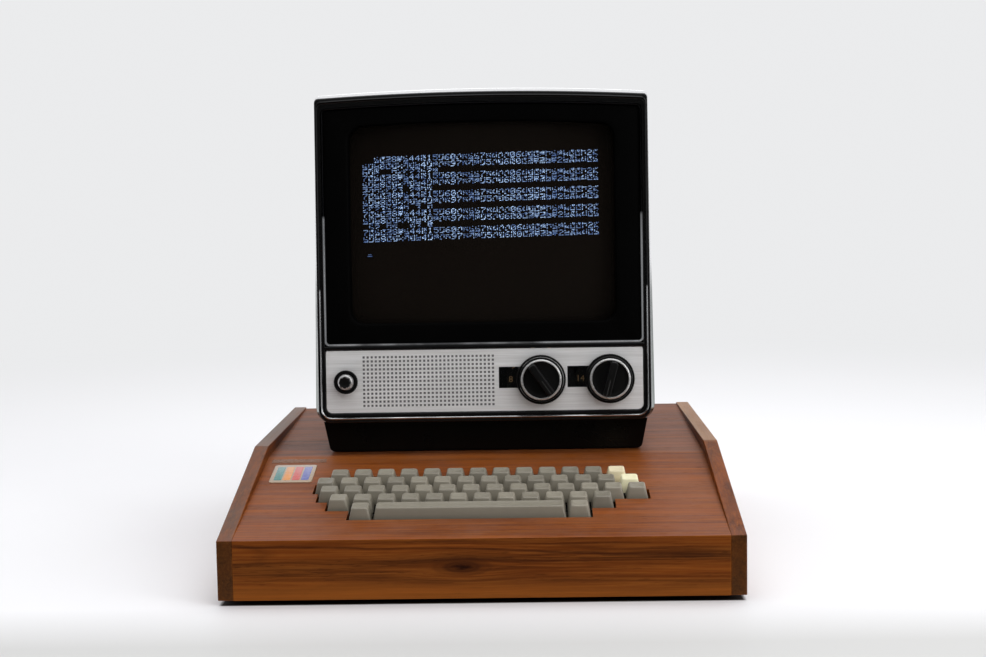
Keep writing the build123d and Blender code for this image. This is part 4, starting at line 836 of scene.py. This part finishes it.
def add_dot(bm, x, height, tint, layer):
    """One lit dot of a scan line, a closed sliver in front of the glass."""
    corners = []
    for lift in (0.22, 0.12):
        for u, v in ((0, 0), (DOT_WIDTH, 0), (DOT_WIDTH, DOT_HEIGHT), (0, DOT_HEIGHT)):
            h = height + v + (x + u) * SCREEN_TILT
            corners.append(bm.verts.new((x + u, glass_depth(x + u, h) - lift, h)))
    for vert in corners:
        vert[layer] = tint
    for face in ((0, 1, 2, 3), (7, 6, 5, 4), (0, 4, 5, 1), (1, 5, 6, 2), (2, 6, 7, 3), (3, 7, 4, 0)):
        bm.faces.new([corners[i] for i in face])


# Digits of five by seven dots, one hexadecimal number for each row of dots.
DIGITS = ("0e 11 13 15 19 11 0e", "04 0c 04 04 04 04 0e", "0e 11 01 06 08 10 1f", "1f 01 02 06 01 11 0e",
          "02 06 0a 12 1f 02 02", "1f 10 1e 01 01 11 0e", "07 08 10 1e 11 11 0e", "1f 01 02 04 08 08 08",
          "0e 11 11 0e 11 11 0e", "0e 11 11 0f 01 02 1c")


def glyph_shapes(chance, count):
    """Digits and made-up characters of five by seven dots, as rows of booleans."""
    shapes = [[[bool(int(row, 16) >> bit & 1) for bit in (4, 3, 2, 1, 0)] for row in digit.split()]
              for digit in DIGITS]
    while len(shapes) < count:
        bar = chance.randrange(7)
        rows = []
        for row in range(7):
            if row == bar or chance.random() < 0.15:
                rows.append([chance.random() < 0.8 for _ in LIT_CHANCES])
            else:
                rows.append([chance.random() < lit for lit in LIT_CHANCES])
        shapes.append(rows)
    return shapes


def add_glyph(bm, layer, shape, x, height, bright, chance):
    """The lit dots of a character, row by row, each with its own brightness."""
    for row, dots in enumerate(shape):
        for column, lit in enumerate(dots):
            if lit:
                tint = bright * (0.06 + 0.94 * chance.random() ** 2)
                add_dot(bm, x + column * DOT_PITCH, height - row * DOT_ROW_PITCH, tint, layer)


def build_screen(settings):
    """Glowing rows of digits and made-up characters on the tube's face."""
    chance = random.Random(SCREEN_SEED)
    shapes = glyph_shapes(chance, SHAPES)
    bm = bmesh.new()
    layer = bm.verts.layers.float.new(SHADE)
    lines = [[chance.randrange(SHAPES) for _ in range(COLUMNS)] for _ in range(3)]
    levels = [0.35 + 0.65 * chance.random() for _ in range(COLUMNS)]
    for block in range(BLOCKS):
        top = SCREEN_PLACE[1] - block * BLOCK_PITCH
        for column, bright in enumerate(levels):
            x = SCREEN_PLACE[0] + column * COLUMN_PITCH
            if column > 1 or block:
                add_glyph(bm, layer, shapes[lines[0][column]], x, top, bright, chance)
            add_glyph(bm, layer, shapes[lines[1][column]], x, top - LINE_PITCH[0], bright, chance)
            if column < LONG_COLUMNS and block < BLOCKS - 1 and chance.random() < 0.85:
                shape = shapes[lines[2][(column + block * 3) % COLUMNS]][:5]
                add_glyph(bm, layer, shape, x, top - LINE_PITCH[1], bright, chance)
    add_glyph(bm, layer, shapes[14][2:5], *LAST_GLYPH_PLACE, 0.4, chance)
    glow = glowing("phosphor", settings.glow, settings.glow_strength)
    carry(make_object("screen_characters", bm, FACE, glow), "monitor", "screen_glass")


# ---------------------------------------------------------------- television shell
# Cross sections as (part of the way from each outline to the next one inside it, depth).
BEZEL_SECTION = (
    (0, 14), (0, 12.3), (0.02, 12.05), (0.04, 12.0), (0.08, 11.6), (0.93, 3.2), (0.98, 2.2), (1.03, 1.5),
    (1.10, 1.1), (1.2, 0.95), (1.30, 0.9), (1.36, 0.55), (1.41, 0.12), (1.45, 0.0), (1.49, 0.12),
    (1.53, 0.6), (1.58, 1.05), (1.66, 1.15), (1.9, 1.2), (1.97, 1.6), (2, 2.3), (2, 4.4), (1.1, 4.4),
    (0.9, 14))
TRIM_SECTION = (
    (0, 4.4), (0, 2.0), (0.10, 1.75), (0.30, 1.7), (0.36, 1.1), (0.44, 0.66), (0.54, 0.5), (0.64, 0.66),
    (0.72, 1.1), (0.78, 1.7), (0.95, 1.75), (1, 2.0), (1, 4.4))
MASK_SECTION = (
    (0, 4.9), (0, 2.7), (0.02, 2.4), (0.85, 2.5), (0.92, 2.7), (0.96, 3.3), (0.985, 4.2), (1, 5.5),
    (1, 40), (0.9, 40), (0.9, 4.9))
# Strips of the bezel's section that aren't gloss black: painted reflection on the outer edge, painted
# highlight on the ridge.
BEZEL_FINISH = {1: 1, 2: 1, 3: 1, 4: 1, 11: 2, 12: 2, 13: 2, 14: 2}

# Bar between the screen and the control plate: width, lower and upper edge, front and back.
DIVIDER = (277, 64.1, 67.4, 0.9, 4.4)

# Tube behind its curved face, as (depth, half width, half height, corner radius).
TUBE_FACE = (121.0, 92.2, 17.0)
TUBE_SECTIONS = ((45, *TUBE_FACE), (60, 108, 84, 30), (74, 92, 71, 40), (88, 68, 56, 40), (100, 46, 42, 36),
                 (112, 24, 24, 20), (122, 14.5, 14.5, 14.3), (196, 14.5, 14.5, 14.3))
TUBE_RINGS = (0.01, 0.06, 0.14, 0.24, 0.35, 0.46, 0.57, 0.68, 0.78, 0.87, 0.94, 0.985)  # shares of the face


def glass_depth(x, height):
    """Depth of the tube's face behind the bezel's front."""
    return TUBE_CENTRE[0] - math.sqrt(TUBE_SPHERE ** 2 - x ** 2 - (height - TUBE_CENTRE[1]) ** 2)


def section_ring(lines, section, to_glass=False, finish=None):
    """Closed ring with a cross section over outlines, outermost first; to_glass ends it on the tube."""
    bm = bmesh.new()
    rings = []
    for part, depth in section:
        step = min(int(part), len(lines) - 2)
        rings.append(between(lines[step], lines[step + 1], part - step, depth))
    if to_glass:
        rings = [[(x, min(depth, glass_depth(x, h) - 0.3), h) for x, depth, h in ring] for ring in rings]
    for number, face in enumerate(loft(bm, rings, closed=True)):
        face.material_index = (finish or {}).get(number // len(rings[0]), 0)
    return bm


def add_rounded_bar(bm, width, low, high, front, back):
    """Bar across the face with rounded front edges."""
    middle, half = (low + high) / 2, (high - low) / 2
    rings = []
    for depth, inset in ((back, 0), (front + 0.9, 0), (front + 0.45, 0.12), (front + 0.12, 0.45),
                         (front, 0.9)):
        outline = rounded_rect(width - 0.2 * inset, 2 * (half - inset), 0.3, (0, middle), 2)
        rings.append([(x, depth, h) for x, h in outline])
    loft(bm, rings)


def tube_outline(half_x, half_h, radius):
    """Outline round the middle of the tube."""
    middle = TUBE_CENTRE[1]
    return crowned((half_x, half_x, middle - half_h, middle + half_h, 0, radius, radius), steps=8, fill=14)


def build_tube(settings):
    """Picture tube: curved face, funnel and neck."""
    bm = bmesh.new()
    middle = TUBE_CENTRE[1]
    outline = tube_outline(*TUBE_FACE)
    rings = []
    for part in TUBE_RINGS:
        ring = [(x * part, middle + (h - middle) * part) for x, h in outline]
        rings.append([(x, glass_depth(x, h), h) for x, h in ring])
    rings.append([(x, glass_depth(x, h) + 1.2, h) for x, h in outline])
    for depth, *section in TUBE_SECTIONS:
        rings.append([(x, depth, h) for x, h in tube_outline(*section)])
    loft(bm, rings)
    piece = make_object("tube_body", bm, FACE, screen_glass("tube_glass", settings.glass))
    carry(piece, "monitor", "screen_glass", "picture_tube")


def painted_highlight_moulding(name, dull, bright, bands, broken, glint=0.0):
    """Polished moulding, painted highlights in bands of height (start, full), streaky when broken, glowing by
    glint.
    """
    def build(net):
        at = net.coords()
        height = net.split(at)[2]
        lit = 0.0
        for start, full in bands:
            lit = net.math("MAXIMUM", lit, net.span(height, start, full))
        streak = net.noise(net.stretch(at, (16, 16, 5)), detail=3, roughness=0.6)
        lit = net.times(lit, net.span(streak, 0.40, 0.58, 1 - broken, 1))
        rough = net.smudged(at, 0.10, 0.2)
        return {"Base Color": net.mix(lit, dull, bright), "Roughness": rough,
                "Emission Color": net.mix(lit, (0, 0, 0), bright)}
    return material(name, build, Metallic=1.0, Emission_Strength=glint)


def build_shell(settings):
    """Bezel, trim, surround, plate, cabinet and pedestal."""
    tone = settings.shell
    gloss = plastic("gloss_black", tone, 0.08, 0.14, grain=500, depth=0.002, dusty=0.02, worn=0,
                    Specular_IOR_Level=0.3)
    # Painted reflection of the pale surroundings on the outer edge, and a painted highlight low on the thin
    # ridge.
    edge = painted_highlight_moulding("bright_edge", (0.008, 0.034, 0.014), (0.99, 1.0, 0.99), ((0.113, 0.140),), 0.05)
    ridge = painted_highlight_moulding("thin_ridge", (0.012, 0.012, 0.012), (0.60, 0.60, 0.60), ((0.1170, 0.1150),), 0.7)
    bm = section_ring([crowned(FACE_LINE), crowned(FRONT_LINE), crowned(RIM_LINE)], BEZEL_SECTION,
                      finish=BEZEL_FINISH)
    add_rounded_bar(bm, *DIVIDER)
    carry(make_object("bezel_frame", bm, FACE, gloss, edge, ridge), "monitor", "gloss_black",
          "front_bezel")

    bm = section_ring([crowned(TRIM_LINE), crowned(MASK_LINE)], TRIM_SECTION)
    # Painted highlights on the top and bottom runs of the trim, glowing a little.
    trim = painted_highlight_moulding("chrome_trim", (0.06, 0.06, 0.065), (0.55, 0.56, 0.58),
                        ((0.3785, 0.3800), (0.1805, 0.1775)), 0.8, glint=0.28)
    carry(make_object("bright_trim", bm, FACE, trim), "monitor", "chrome", "bezel_trim")

    surround = plastic("surround_black", shade(tone, 0.25), 0.5, 0.6, grain=700, depth=0.005, dusty=0, worn=0,
                       Specular_IOR_Level=0.02)
    bm = section_ring([crowned(MASK_LINE, -0.3), crowned(SCREEN_LINE)], MASK_SECTION, to_glass=True)
    carry(make_object("screen_surround", bm, FACE, surround), "monitor", "satin_black", "tube_mask")

    dress(plastic("satin_black", shade(tone, 1.3), 0.28, 0.36, grain=1100, depth=0.03, dusty=0.03, worn=0,
                  Specular_IOR_Level=0.35), "cabinet rear_cover")
    dress(plastic("pedestal_black", shade(tone, 0.25), 0.26, 0.34, grain=1100, depth=0.02, dusty=0.02,
                  Specular_IOR_Level=0.25), "pedestal")
    dress(metal("brushed_plate", settings.plate, 0.34, 0.44, depth=0.02, Metallic=0.15), "control_plate")

    bm = bmesh.new()
    cloth = rounded_rect(119, 49, 2, (-48.5, CONTROL_HEIGHT))
    loft(bm, [[(x, depth, h) for x, h in cloth] for depth in (3.26, 3.5)])
    weave = plastic("speaker_cloth", (0.20, 0.20, 0.205), 0.7, 0.85, grain=2500, depth=0.05, dusty=0)
    carry(make_object("speaker_cloth", bm, FACE, weave), "monitor", "speaker_steel")


# ---------------------------------------------------------------- controls
# Profiles of the turned pieces, as (radius, height out of the face) and the depth of the ribs.
KNOB_PROFILE = ((19.1, 7.9), (18.8, 8.5), (18.2, 8.7), (17.8, 8.5), (17.75, 7.6), (15.7, 7.6), (15.6, 8.1),
                (15.3, 8.3), (14.2, 8.2), (13.6, 7.8), (12, 7.7), (5, 7.7))
KNOB_FOOT = ((18.7, 0.9), (19.1, 1.3))
RIBBED_FOOT = ((20.9, 0.6), (21.4, 1.0, 0.35), (21.4, 3.9, 0.35), (20.9, 4.4), (19.5, 4.5), (19.1, 5.0))
BRIGHT_RING = ((15.7, 7.5), (17.7, 7.5), (17.75, 8.4, 0.3), (17.5, 8.8, 0.2), (17.0, 9.15, 0.1), (16.5, 9.4),
               (16.1, 9.45), (15.8, 9.3), (15.7, 9.0))
FINE_RING = ((19.6, 0.5), (21.1, 0.5), (21.4, 0.9, 0.35), (21.4, 5.2, 0.35), (20.9, 5.8), (20.2, 6.0),
             (19.6, 5.6))
VOLUME_RING = ((7.0, 0.2), (10.0, 0.2), (10.4, 0.6, 0.3), (10.4, 4.3, 0.3), (9.8, 4.9), (9.0, 5.0),
               (7.0, 4.6))
VOLUME_DISC = ((4.0, 5.3), (6.5, 5.3), (6.7, 5.5), (6.6, 5.9), (5.8, 6.9), (5.3, 7.25), (3.9, 7.25))
VOLUME_GRIP = ((4.4, 6.8), (5.1, 7.6, 0.7), (5.1, 13.2, 0.7), (4.7, 13.9, 0.4), (4.1, 14.0), (3.3, 13.5),
               (1.2, 13.4))
VOLUME_SHAFT = ((3.0, -9.0), (3.0, 5.5), (2.6, 5.6))
# Bar grip of a channel knob: length, width, foot and crest, then its draft, and the rounding of its
# corners and of its crest.
GRIP_SIZE, GRIP_DRAFT, GRIP_CORNER, GRIP_ROUNDING = (31.0, 7.5, 7.0, 17.0), 4.0, 2.4, 0.9
# Figures of each dial, blank at a dash, with the radius and depth at which they stand.
VHF_FIGURES = ("8 9 10 11 12 13 - - 2 3 4 5 6 7", 26.2, 5.5)
UHF_FIGURES = ("14 20 30 40 50 60 70 83", 25.2, 7.9)
FIGURE_HEIGHT = 7.5


def add_bar(bm, angle, line):
    """Bar grip across a knob, with a line along half of its crest."""
    length, width, low, high = GRIP_SIZE
    start = len(bm.verts)
    levels = []
    for part in (0, 0.5, 0.9):
        up = part * (high - low)
        levels.append((low + up, up * math.tan(math.radians(GRIP_DRAFT)), GRIP_CORNER))
    for degrees in (30, 60, 90):
        lost = GRIP_ROUNDING * (1 - math.cos(math.radians(degrees)))
        rise = GRIP_ROUNDING * math.sin(math.radians(degrees))
        levels.append((high - GRIP_ROUNDING + rise, 0.55 + lost, GRIP_CORNER - lost))
    loft(bm, [[(x, y, z) for x, y in rounded_rect(length - 2 * inset, width - 2 * inset, corner, steps=6)]
              for z, inset, corner in levels])
    mark = rounded_rect(length / 2 - 1.5, 0.7, 0.3, (length / 4, 0))
    for face in loft(bm, [[(x, y, z) for x, y in mark] for z in (high - 0.3, high + 0.05)]):
        face.material_index = line
    bm.verts.ensure_lookup_table()
    bmesh.ops.rotate(bm, verts=bm.verts[start:], matrix=Matrix.Rotation(math.radians(angle), 3, "Z"))


def build_selector(name, x, body, foot, bar_angle, finishes):
    """Channel knob with its bar grip, and the bright ring round its face."""
    black, chrome, line = finishes
    bm = bmesh.new()
    turned(bm, foot + KNOB_PROFILE, steps=180, teeth=60)
    add_bar(bm, bar_angle, 1)
    carry(make_object(name + "_body", bm, axis(x), black, line), body, "knob_black", name)

    bm = bmesh.new()
    turned(bm, BRIGHT_RING, steps=288, closed=True, teeth=72)
    carry(make_object(name + "_bright_ring", bm, axis(x), chrome), body, "chrome", name + "_ring")


def numeral_mesh(text, height):
    """Mesh of a plain numeral, thin and closed."""
    curve = bpy.data.curves.new("numeral", "FONT")
    curve.body = text
    curve.size = height
    curve.extrude = 0.06
    curve.align_x = "CENTER"
    curve.align_y = "CENTER"
    holder = bpy.data.objects.new("numeral", curve)
    bpy.context.scene.collection.objects.link(holder)
    bpy.context.view_layer.update()
    mesh = bpy.data.meshes.new_from_object(holder.evaluated_get(bpy.context.evaluated_depsgraph_get()))
    bpy.data.objects.remove(holder)
    bpy.data.curves.remove(curve)
    return mesh


def build_numerals(name, x, body, figures, finish):
    """Figures round a channel dial; the first stands upright at the window."""
    bm = bmesh.new()
    texts, radius, depth = figures
    texts = texts.split()
    for place, text in enumerate(texts):
        if text != "-":
            mesh = numeral_mesh(text, FIGURE_HEIGHT)
            turn = Matrix.Rotation(-2 * math.pi * place / len(texts), 4, "Z")
            mesh.transform(turn @ Matrix.Translation((-radius, 0, -depth)))
            bm.from_mesh(mesh)
            bpy.data.meshes.remove(mesh)
    bmesh.ops.remove_doubles(bm, verts=bm.verts, dist=0.001)
    carry(make_object(name, bm, axis(x), finish, smooth=20), body, "dial_black")


def build_controls(settings):
    """Volume control, both channel selectors with their dials, and the windows."""
    black = plastic("knob_black", (0.006, 0.006, 0.006), 0.36, 0.48, grain=800, depth=0.01, dusty=0.02,
                    worn=0.1, Specular_IOR_Level=0.2)
    chrome = metal("knob_chrome", (0.70, 0.70, 0.69), 0.2, 0.3, Metallic=0.55)
    # The grey line on each bar grip: a pointer mark that also stands in for a painted highlight on the bar's
    # edge.
    line = plastic("pointer_grey", (0.045, 0.045, 0.045), 0.4, 0.5)
    build_selector("vhf_knob", VHF_X, "vhf_selector", KNOB_FOOT, -55, (black, chrome, line))
    build_selector("uhf_knob", UHF_X, "uhf_selector", RIBBED_FOOT, -105, (black, chrome, line))

    for name, profile, steps, teeth, x, body, node in (
            ("fine_tuning_ring", FINE_RING, 288, 96, VHF_X, "vhf_fine", "vhf_fine_ring"),
            ("volume_outer_ring", VOLUME_RING, 160, 40, VOLUME_X, "volume_outer", "volume_ring")):
        bm = bmesh.new()
        turned(bm, profile, steps, closed=True, teeth=teeth)
        carry(make_object(name, bm, axis(x), black), body, "knob_black", node)

    bm = bmesh.new()
    turned(bm, VOLUME_DISC, index=1)
    turned(bm, VOLUME_GRIP, steps=120, teeth=8)
    turned(bm, VOLUME_SHAFT, steps=32)
    carry(make_object("volume_inner_knob", bm, axis(VOLUME_X), black, chrome), "volume_inner", "knob_black",
          "volume_knob")

    dress(plastic("dial_black", (0.006, 0.006, 0.006), 0.35, 0.5), "vhf_dial uhf_dial")
    # Painted light: the figures glow faintly so that they show in their dark recess.
    glowing_paint = plastic("numeral_paint", settings.numeral, 0.45, 0.6, Emission_Color=settings.numeral,
                    Emission_Strength=0.05)
    build_numerals("vhf_figures", VHF_X, "vhf_selector", VHF_FIGURES, glowing_paint)
    build_numerals("uhf_figures", UHF_X, "uhf_selector", UHF_FIGURES, glowing_paint)
    dress(clear_plastic("window_pane", 0.03), "dial_windows")


# ---------------------------------------------------------------- inner parts
def build_inside():
    """Finishes of the parts behind the panels."""
    dress(printed_board("green_board"), "main_board keyboard_board chassis_board tube_socket")
    dress(wound_wire("enamelled_wire", (0.45, 0.16, 0.06)), "deflection_yoke")
    for name, nodes, tone, low, high in (
            ("plated_steel", "keyboard_plate keyboard_spacers board_standoffs tuners", (0.50, 0.48, 0.42),
             0.25, 0.4),
            ("cast_aluminium", "heat_sink", (0.60, 0.60, 0.62), 0.35, 0.5),
            ("transformer_iron", "power_transformers", (0.14, 0.13, 0.13), 0.45, 0.6),
            ("speaker_steel", "speaker_frame", (0.09, 0.09, 0.10), 0.5, 0.65)):
        dress(metal(name, tone, low, high), nodes)
    for name, node, tone, low, high, worn in (
            ("switch_plastic", "key_switches", (0.02, 0.02, 0.022), 0.4, 0.55, 0.25),
            ("chip_black", "logic_chips", (0.016, 0.016, 0.018), 0.45, 0.6, 0.25),
            ("chip_ceramic", "processor", (0.55, 0.50, 0.46), 0.4, 0.55, 0.25),
            ("capacitor_sleeve", "filter_capacitors", (0.03, 0.10, 0.32), 0.25, 0.4, 0.25),
            ("brown_bakelite", "antenna_terminals", (0.060, 0.024, 0.012), 0.22, 0.34, 0.4),
            ("inlet_grey", "mains_inlet", (0.045, 0.045, 0.047), 0.35, 0.5, 0.4),
            ("volume_body", "volume_control", (0.05, 0.05, 0.05), 0.4, 0.5, 0.25)):
        dress(plastic(name, tone, low, high, worn=worn), node)


# ---------------------------------------------------------------- stage
FLOOR_RADIUS = 2600
CASE_HALF_WIDTH, CASE_HALF_DEPTH = 0.200, 0.215
FLOOR_EDGE = -0.22  # where the floor in front of the case begins to darken with painted shade
CAMERA_PLACE = (0.035146, -1.397072, 0.323177)
CAMERA_TURN = (1.127, 5.546, -0.953)  # yaw, downward pitch and roll, in degrees


def floor_finish(settings):
    """Pale floor, painted shadow under the case and painted shade before it, fading into the surroundings far
    away.
    """
    made = bpy.data.materials.new("pale_floor")
    made.use_nodes = True
    net = Net(made.node_tree)
    shader = made.node_tree.nodes["Principled BSDF"]
    at = net.coords()
    far = net.node("ShaderNodeVectorMath", at, operation="LENGTH").outputs["Value"]
    cloud = net.noise(at, 3, detail=3)
    pale = net.mix(cloud, shade(settings.floor, 0.985), shade(settings.floor, 1.015))
    x, y = net.split(at)[:2]
    across, along = net.absolute(x), net.absolute(y)
    # Painted shade on the floor in front of the case.
    painted_shade_ahead = net.times(net.span(y, FLOOR_EDGE, FLOOR_EDGE - 0.10, 0, 0.8),
                     net.times(net.span(y, -0.95, -0.60), net.span(across, 0.9, 0.4)))
    # Painted shadow under the case.
    under = net.times(net.span(across, CASE_HALF_WIDTH, CASE_HALF_WIDTH - 0.003),
                      net.span(along, CASE_HALF_DEPTH + 0.0005, CASE_HALF_DEPTH - 0.002))
    pale = net.mix(painted_shade_ahead, pale, (0.58, 0.58, 0.56))
    net.feed(shader.inputs["Base Color"], net.mix(under, pale, (0.02, 0.012, 0.008)))
    net.feed(shader.inputs["Roughness"], net.span(cloud, 0, 1, 0.5, 0.6))
    net.feed(shader.inputs["Specular IOR Level"], 0.2)
    ray = net.node("ShaderNodeLightPath").outputs
    distant = net.node("ShaderNodeEmission", settings.wall, 1.0)
    fade = net.times(net.span(far, 0.6, 1.7), ray["Is Camera Ray"])
    mixed = net.node("ShaderNodeMixShader", fade, shader.outputs[0], distant.outputs[0])
    dark = net.node("ShaderNodeEmission", (0.003, 0.003, 0.003), 1.0)
    ahead = net.times(net.span(y, FLOOR_EDGE - 0.03, FLOOR_EDGE - 0.12), ray["Is Glossy Ray"])
    mixed = net.node("ShaderNodeMixShader", ahead, mixed.outputs[0], dark.outputs[0])
    output = made.node_tree.nodes["Material Output"]
    net.tree.links.new(mixed.outputs[0], output.inputs["Surface"])
    return made


def build_world(settings):
    """Pale surroundings, dark in front of the computer for what reflects them."""
    world = bpy.data.worlds.new("studio")
    bpy.context.scene.world = world
    world.use_nodes = True
    net = Net(world.node_tree)
    direction = net.split(net.node("ShaderNodeTexCoord").outputs["Generated"])
    behind = net.span(direction[1], -0.75, 0.25, 0.004, 0.80)
    above = net.span(direction[2], 0.42, 0.9, 0, 0.80)
    level = net.math("MAXIMUM", behind, above)
    tone = net.join(level, level, net.times(level, 1.03))
    seen = net.node("ShaderNodeLightPath").outputs["Is Camera Ray"]
    background = world.node_tree.nodes["Background"]
    net.feed(background.inputs["Color"], net.mix(seen, tone, settings.wall))


def add_area(name, sides, watts, place, target, glossy=True):
    """Soft rectangular light aimed at a point."""
    data = bpy.data.lights.new(name, "AREA")
    data.shape = "RECTANGLE"
    data.size, data.size_y = sides
    data.energy = watts
    lamp = bpy.data.objects.new(name, data)
    bpy.context.scene.collection.objects.link(lamp)
    lamp.location = place
    lamp.rotation_euler = (Vector(target) - Vector(place)).to_track_quat("-Z", "Y").to_euler()
    lamp.visible_glossy = glossy
    lamp.visible_camera = False


def add_camera(settings):
    """Camera a little right of the middle, just above the television."""
    data = bpy.data.cameras.new("camera")
    data.sensor_width = 36
    data.lens = settings.lens
    camera = bpy.data.objects.new("camera", data)
    bpy.context.scene.collection.objects.link(camera)
    yaw, pitch, roll = (math.radians(angle) for angle in CAMERA_TURN)
    forward = Vector((-math.sin(yaw) * math.cos(pitch), math.cos(yaw) * math.cos(pitch), -math.sin(pitch)))
    level = Vector((math.cos(yaw), math.sin(yaw), 0))
    up = level.cross(forward)
    right = level * math.cos(roll) + up * math.sin(roll)
    up = up * math.cos(roll) - level * math.sin(roll)
    camera.matrix_world = (Matrix.Translation(CAMERA_PLACE)
                           @ Matrix((right, up, -forward)).transposed().to_4x4())
    bpy.context.scene.camera = camera


def build_stage(settings):
    """Floor, surroundings, lights and camera."""
    bm = bmesh.new()
    bmesh.ops.create_circle(bm, cap_ends=True, segments=128, radius=FLOOR_RADIUS)
    floor = make_object("floor", bm, WORLD, floor_finish(settings))
    build_world(settings)
    add_area("overhead", (2.4, 2.0), settings.overhead, place=(0.2, 0.3, 2.2), target=(0, 0, 0.1))
    add_area("fill", (3.0, 2.0), settings.fill, place=(0.9, -2.1, 2.0), target=(0, 0, 0.15), glossy=False)
    add_area("side", (0.9, 1.6), settings.side, place=(2.1, -1.3, 1.2), target=(0, 0, 0.15))
    add_camera(settings)
    bpy.context.scene.view_settings.view_transform = "Standard"


# ---------------------------------------------------------------- operators
class BuildStage(bpy.types.Operator):
    """Build the floor, lights and camera"""

    bl_idname = "computer.stage"
    bl_label = "Stage"

    def execute(self, context):
        build_stage(context.scene.computer_stage)
        return {"FINISHED"}


class BuildCase(bpy.types.Operator):
    """Finish the wooden case"""

    bl_idname = "computer.case"
    bl_label = "Wooden case"

    def execute(self, context):
        build_case(context.scene.computer_case)
        return {"FINISHED"}


class BuildBadge(bpy.types.Operator):
    """Build the badge and the clear strip on the deck"""

    bl_idname = "computer.badge"
    bl_label = "Badge"

    def execute(self, context):
        build_badge(context.scene.computer_case)
        return {"FINISHED"}


class BuildKeys(bpy.types.Operator):
    """Build the key caps"""

    bl_idname = "computer.keys"
    bl_label = "Keys"

    def execute(self, context):
        build_keys(context.scene.computer_keys)
        return {"FINISHED"}


class BuildShell(bpy.types.Operator):
    """Finish the television's shell"""

    bl_idname = "computer.shell"
    bl_label = "Television shell"

    def execute(self, context):
        build_shell(context.scene.computer_monitor)
        return {"FINISHED"}


class BuildScreen(bpy.types.Operator):
    """Build the glowing characters and finish the tube"""

    bl_idname = "computer.screen"
    bl_label = "Screen"

    def execute(self, context):
        build_tube(context.scene.computer_monitor)
        build_screen(context.scene.computer_monitor)
        return {"FINISHED"}


class BuildControls(bpy.types.Operator):
    """Build the knobs, rings, dials and windows"""

    bl_idname = "computer.controls"
    bl_label = "Controls"

    def execute(self, context):
        build_controls(context.scene.computer_monitor)
        return {"FINISHED"}


class BuildInside(bpy.types.Operator):
    """Finish the parts behind the panels"""

    bl_idname = "computer.inside"
    bl_label = "Inner parts"

    def execute(self, context):
        build_inside()
        return {"FINISHED"}


BUILDERS = (BuildStage, BuildCase, BuildBadge, BuildKeys, BuildShell, BuildScreen, BuildControls, BuildInside)
SETTINGS = {"computer_case": CaseSettings, "computer_keys": KeySettings, "computer_monitor": MonitorSettings,
            "computer_stage": StageSettings}


class ComputerPanel(bpy.types.Panel):
    """Lists the steps that build the computer"""

    bl_idname = "VIEW3D_PT_computer"
    bl_label = "Home computer"
    bl_space_type = "VIEW_3D"
    bl_region_type = "UI"
    bl_category = "Computer"

    def draw(self, context):
        for builder in BUILDERS:
            self.layout.operator(builder.bl_idname)
        for name in SETTINGS:
            box = self.layout.box()
            settings = getattr(context.scene, name)
            for key in settings.bl_rna.properties.keys():
                if key not in ("rna_type", "name"):
                    box.prop(settings, key)


def register():
    """Makes the classes known and adds their settings to the scene."""
    for cls in (*SETTINGS.values(), *BUILDERS, ComputerPanel):
        bpy.utils.register_class(cls)
    for name, cls in SETTINGS.items():
        setattr(bpy.types.Scene, name, PointerProperty(type=cls))


def unregister():
    """Takes the settings and classes away again."""
    for name in SETTINGS:
        delattr(bpy.types.Scene, name)
    for cls in (ComputerPanel, *reversed(BUILDERS), *reversed(SETTINGS.values())):
        bpy.utils.unregister_class(cls)


def main():
    """Builds everything."""
    register()
    build_groups()
    for step in ("stage", "case", "badge", "keys", "shell", "screen", "controls", "inside"):
        getattr(bpy.ops.computer, step)()


if __name__ == "__main__":
    main()
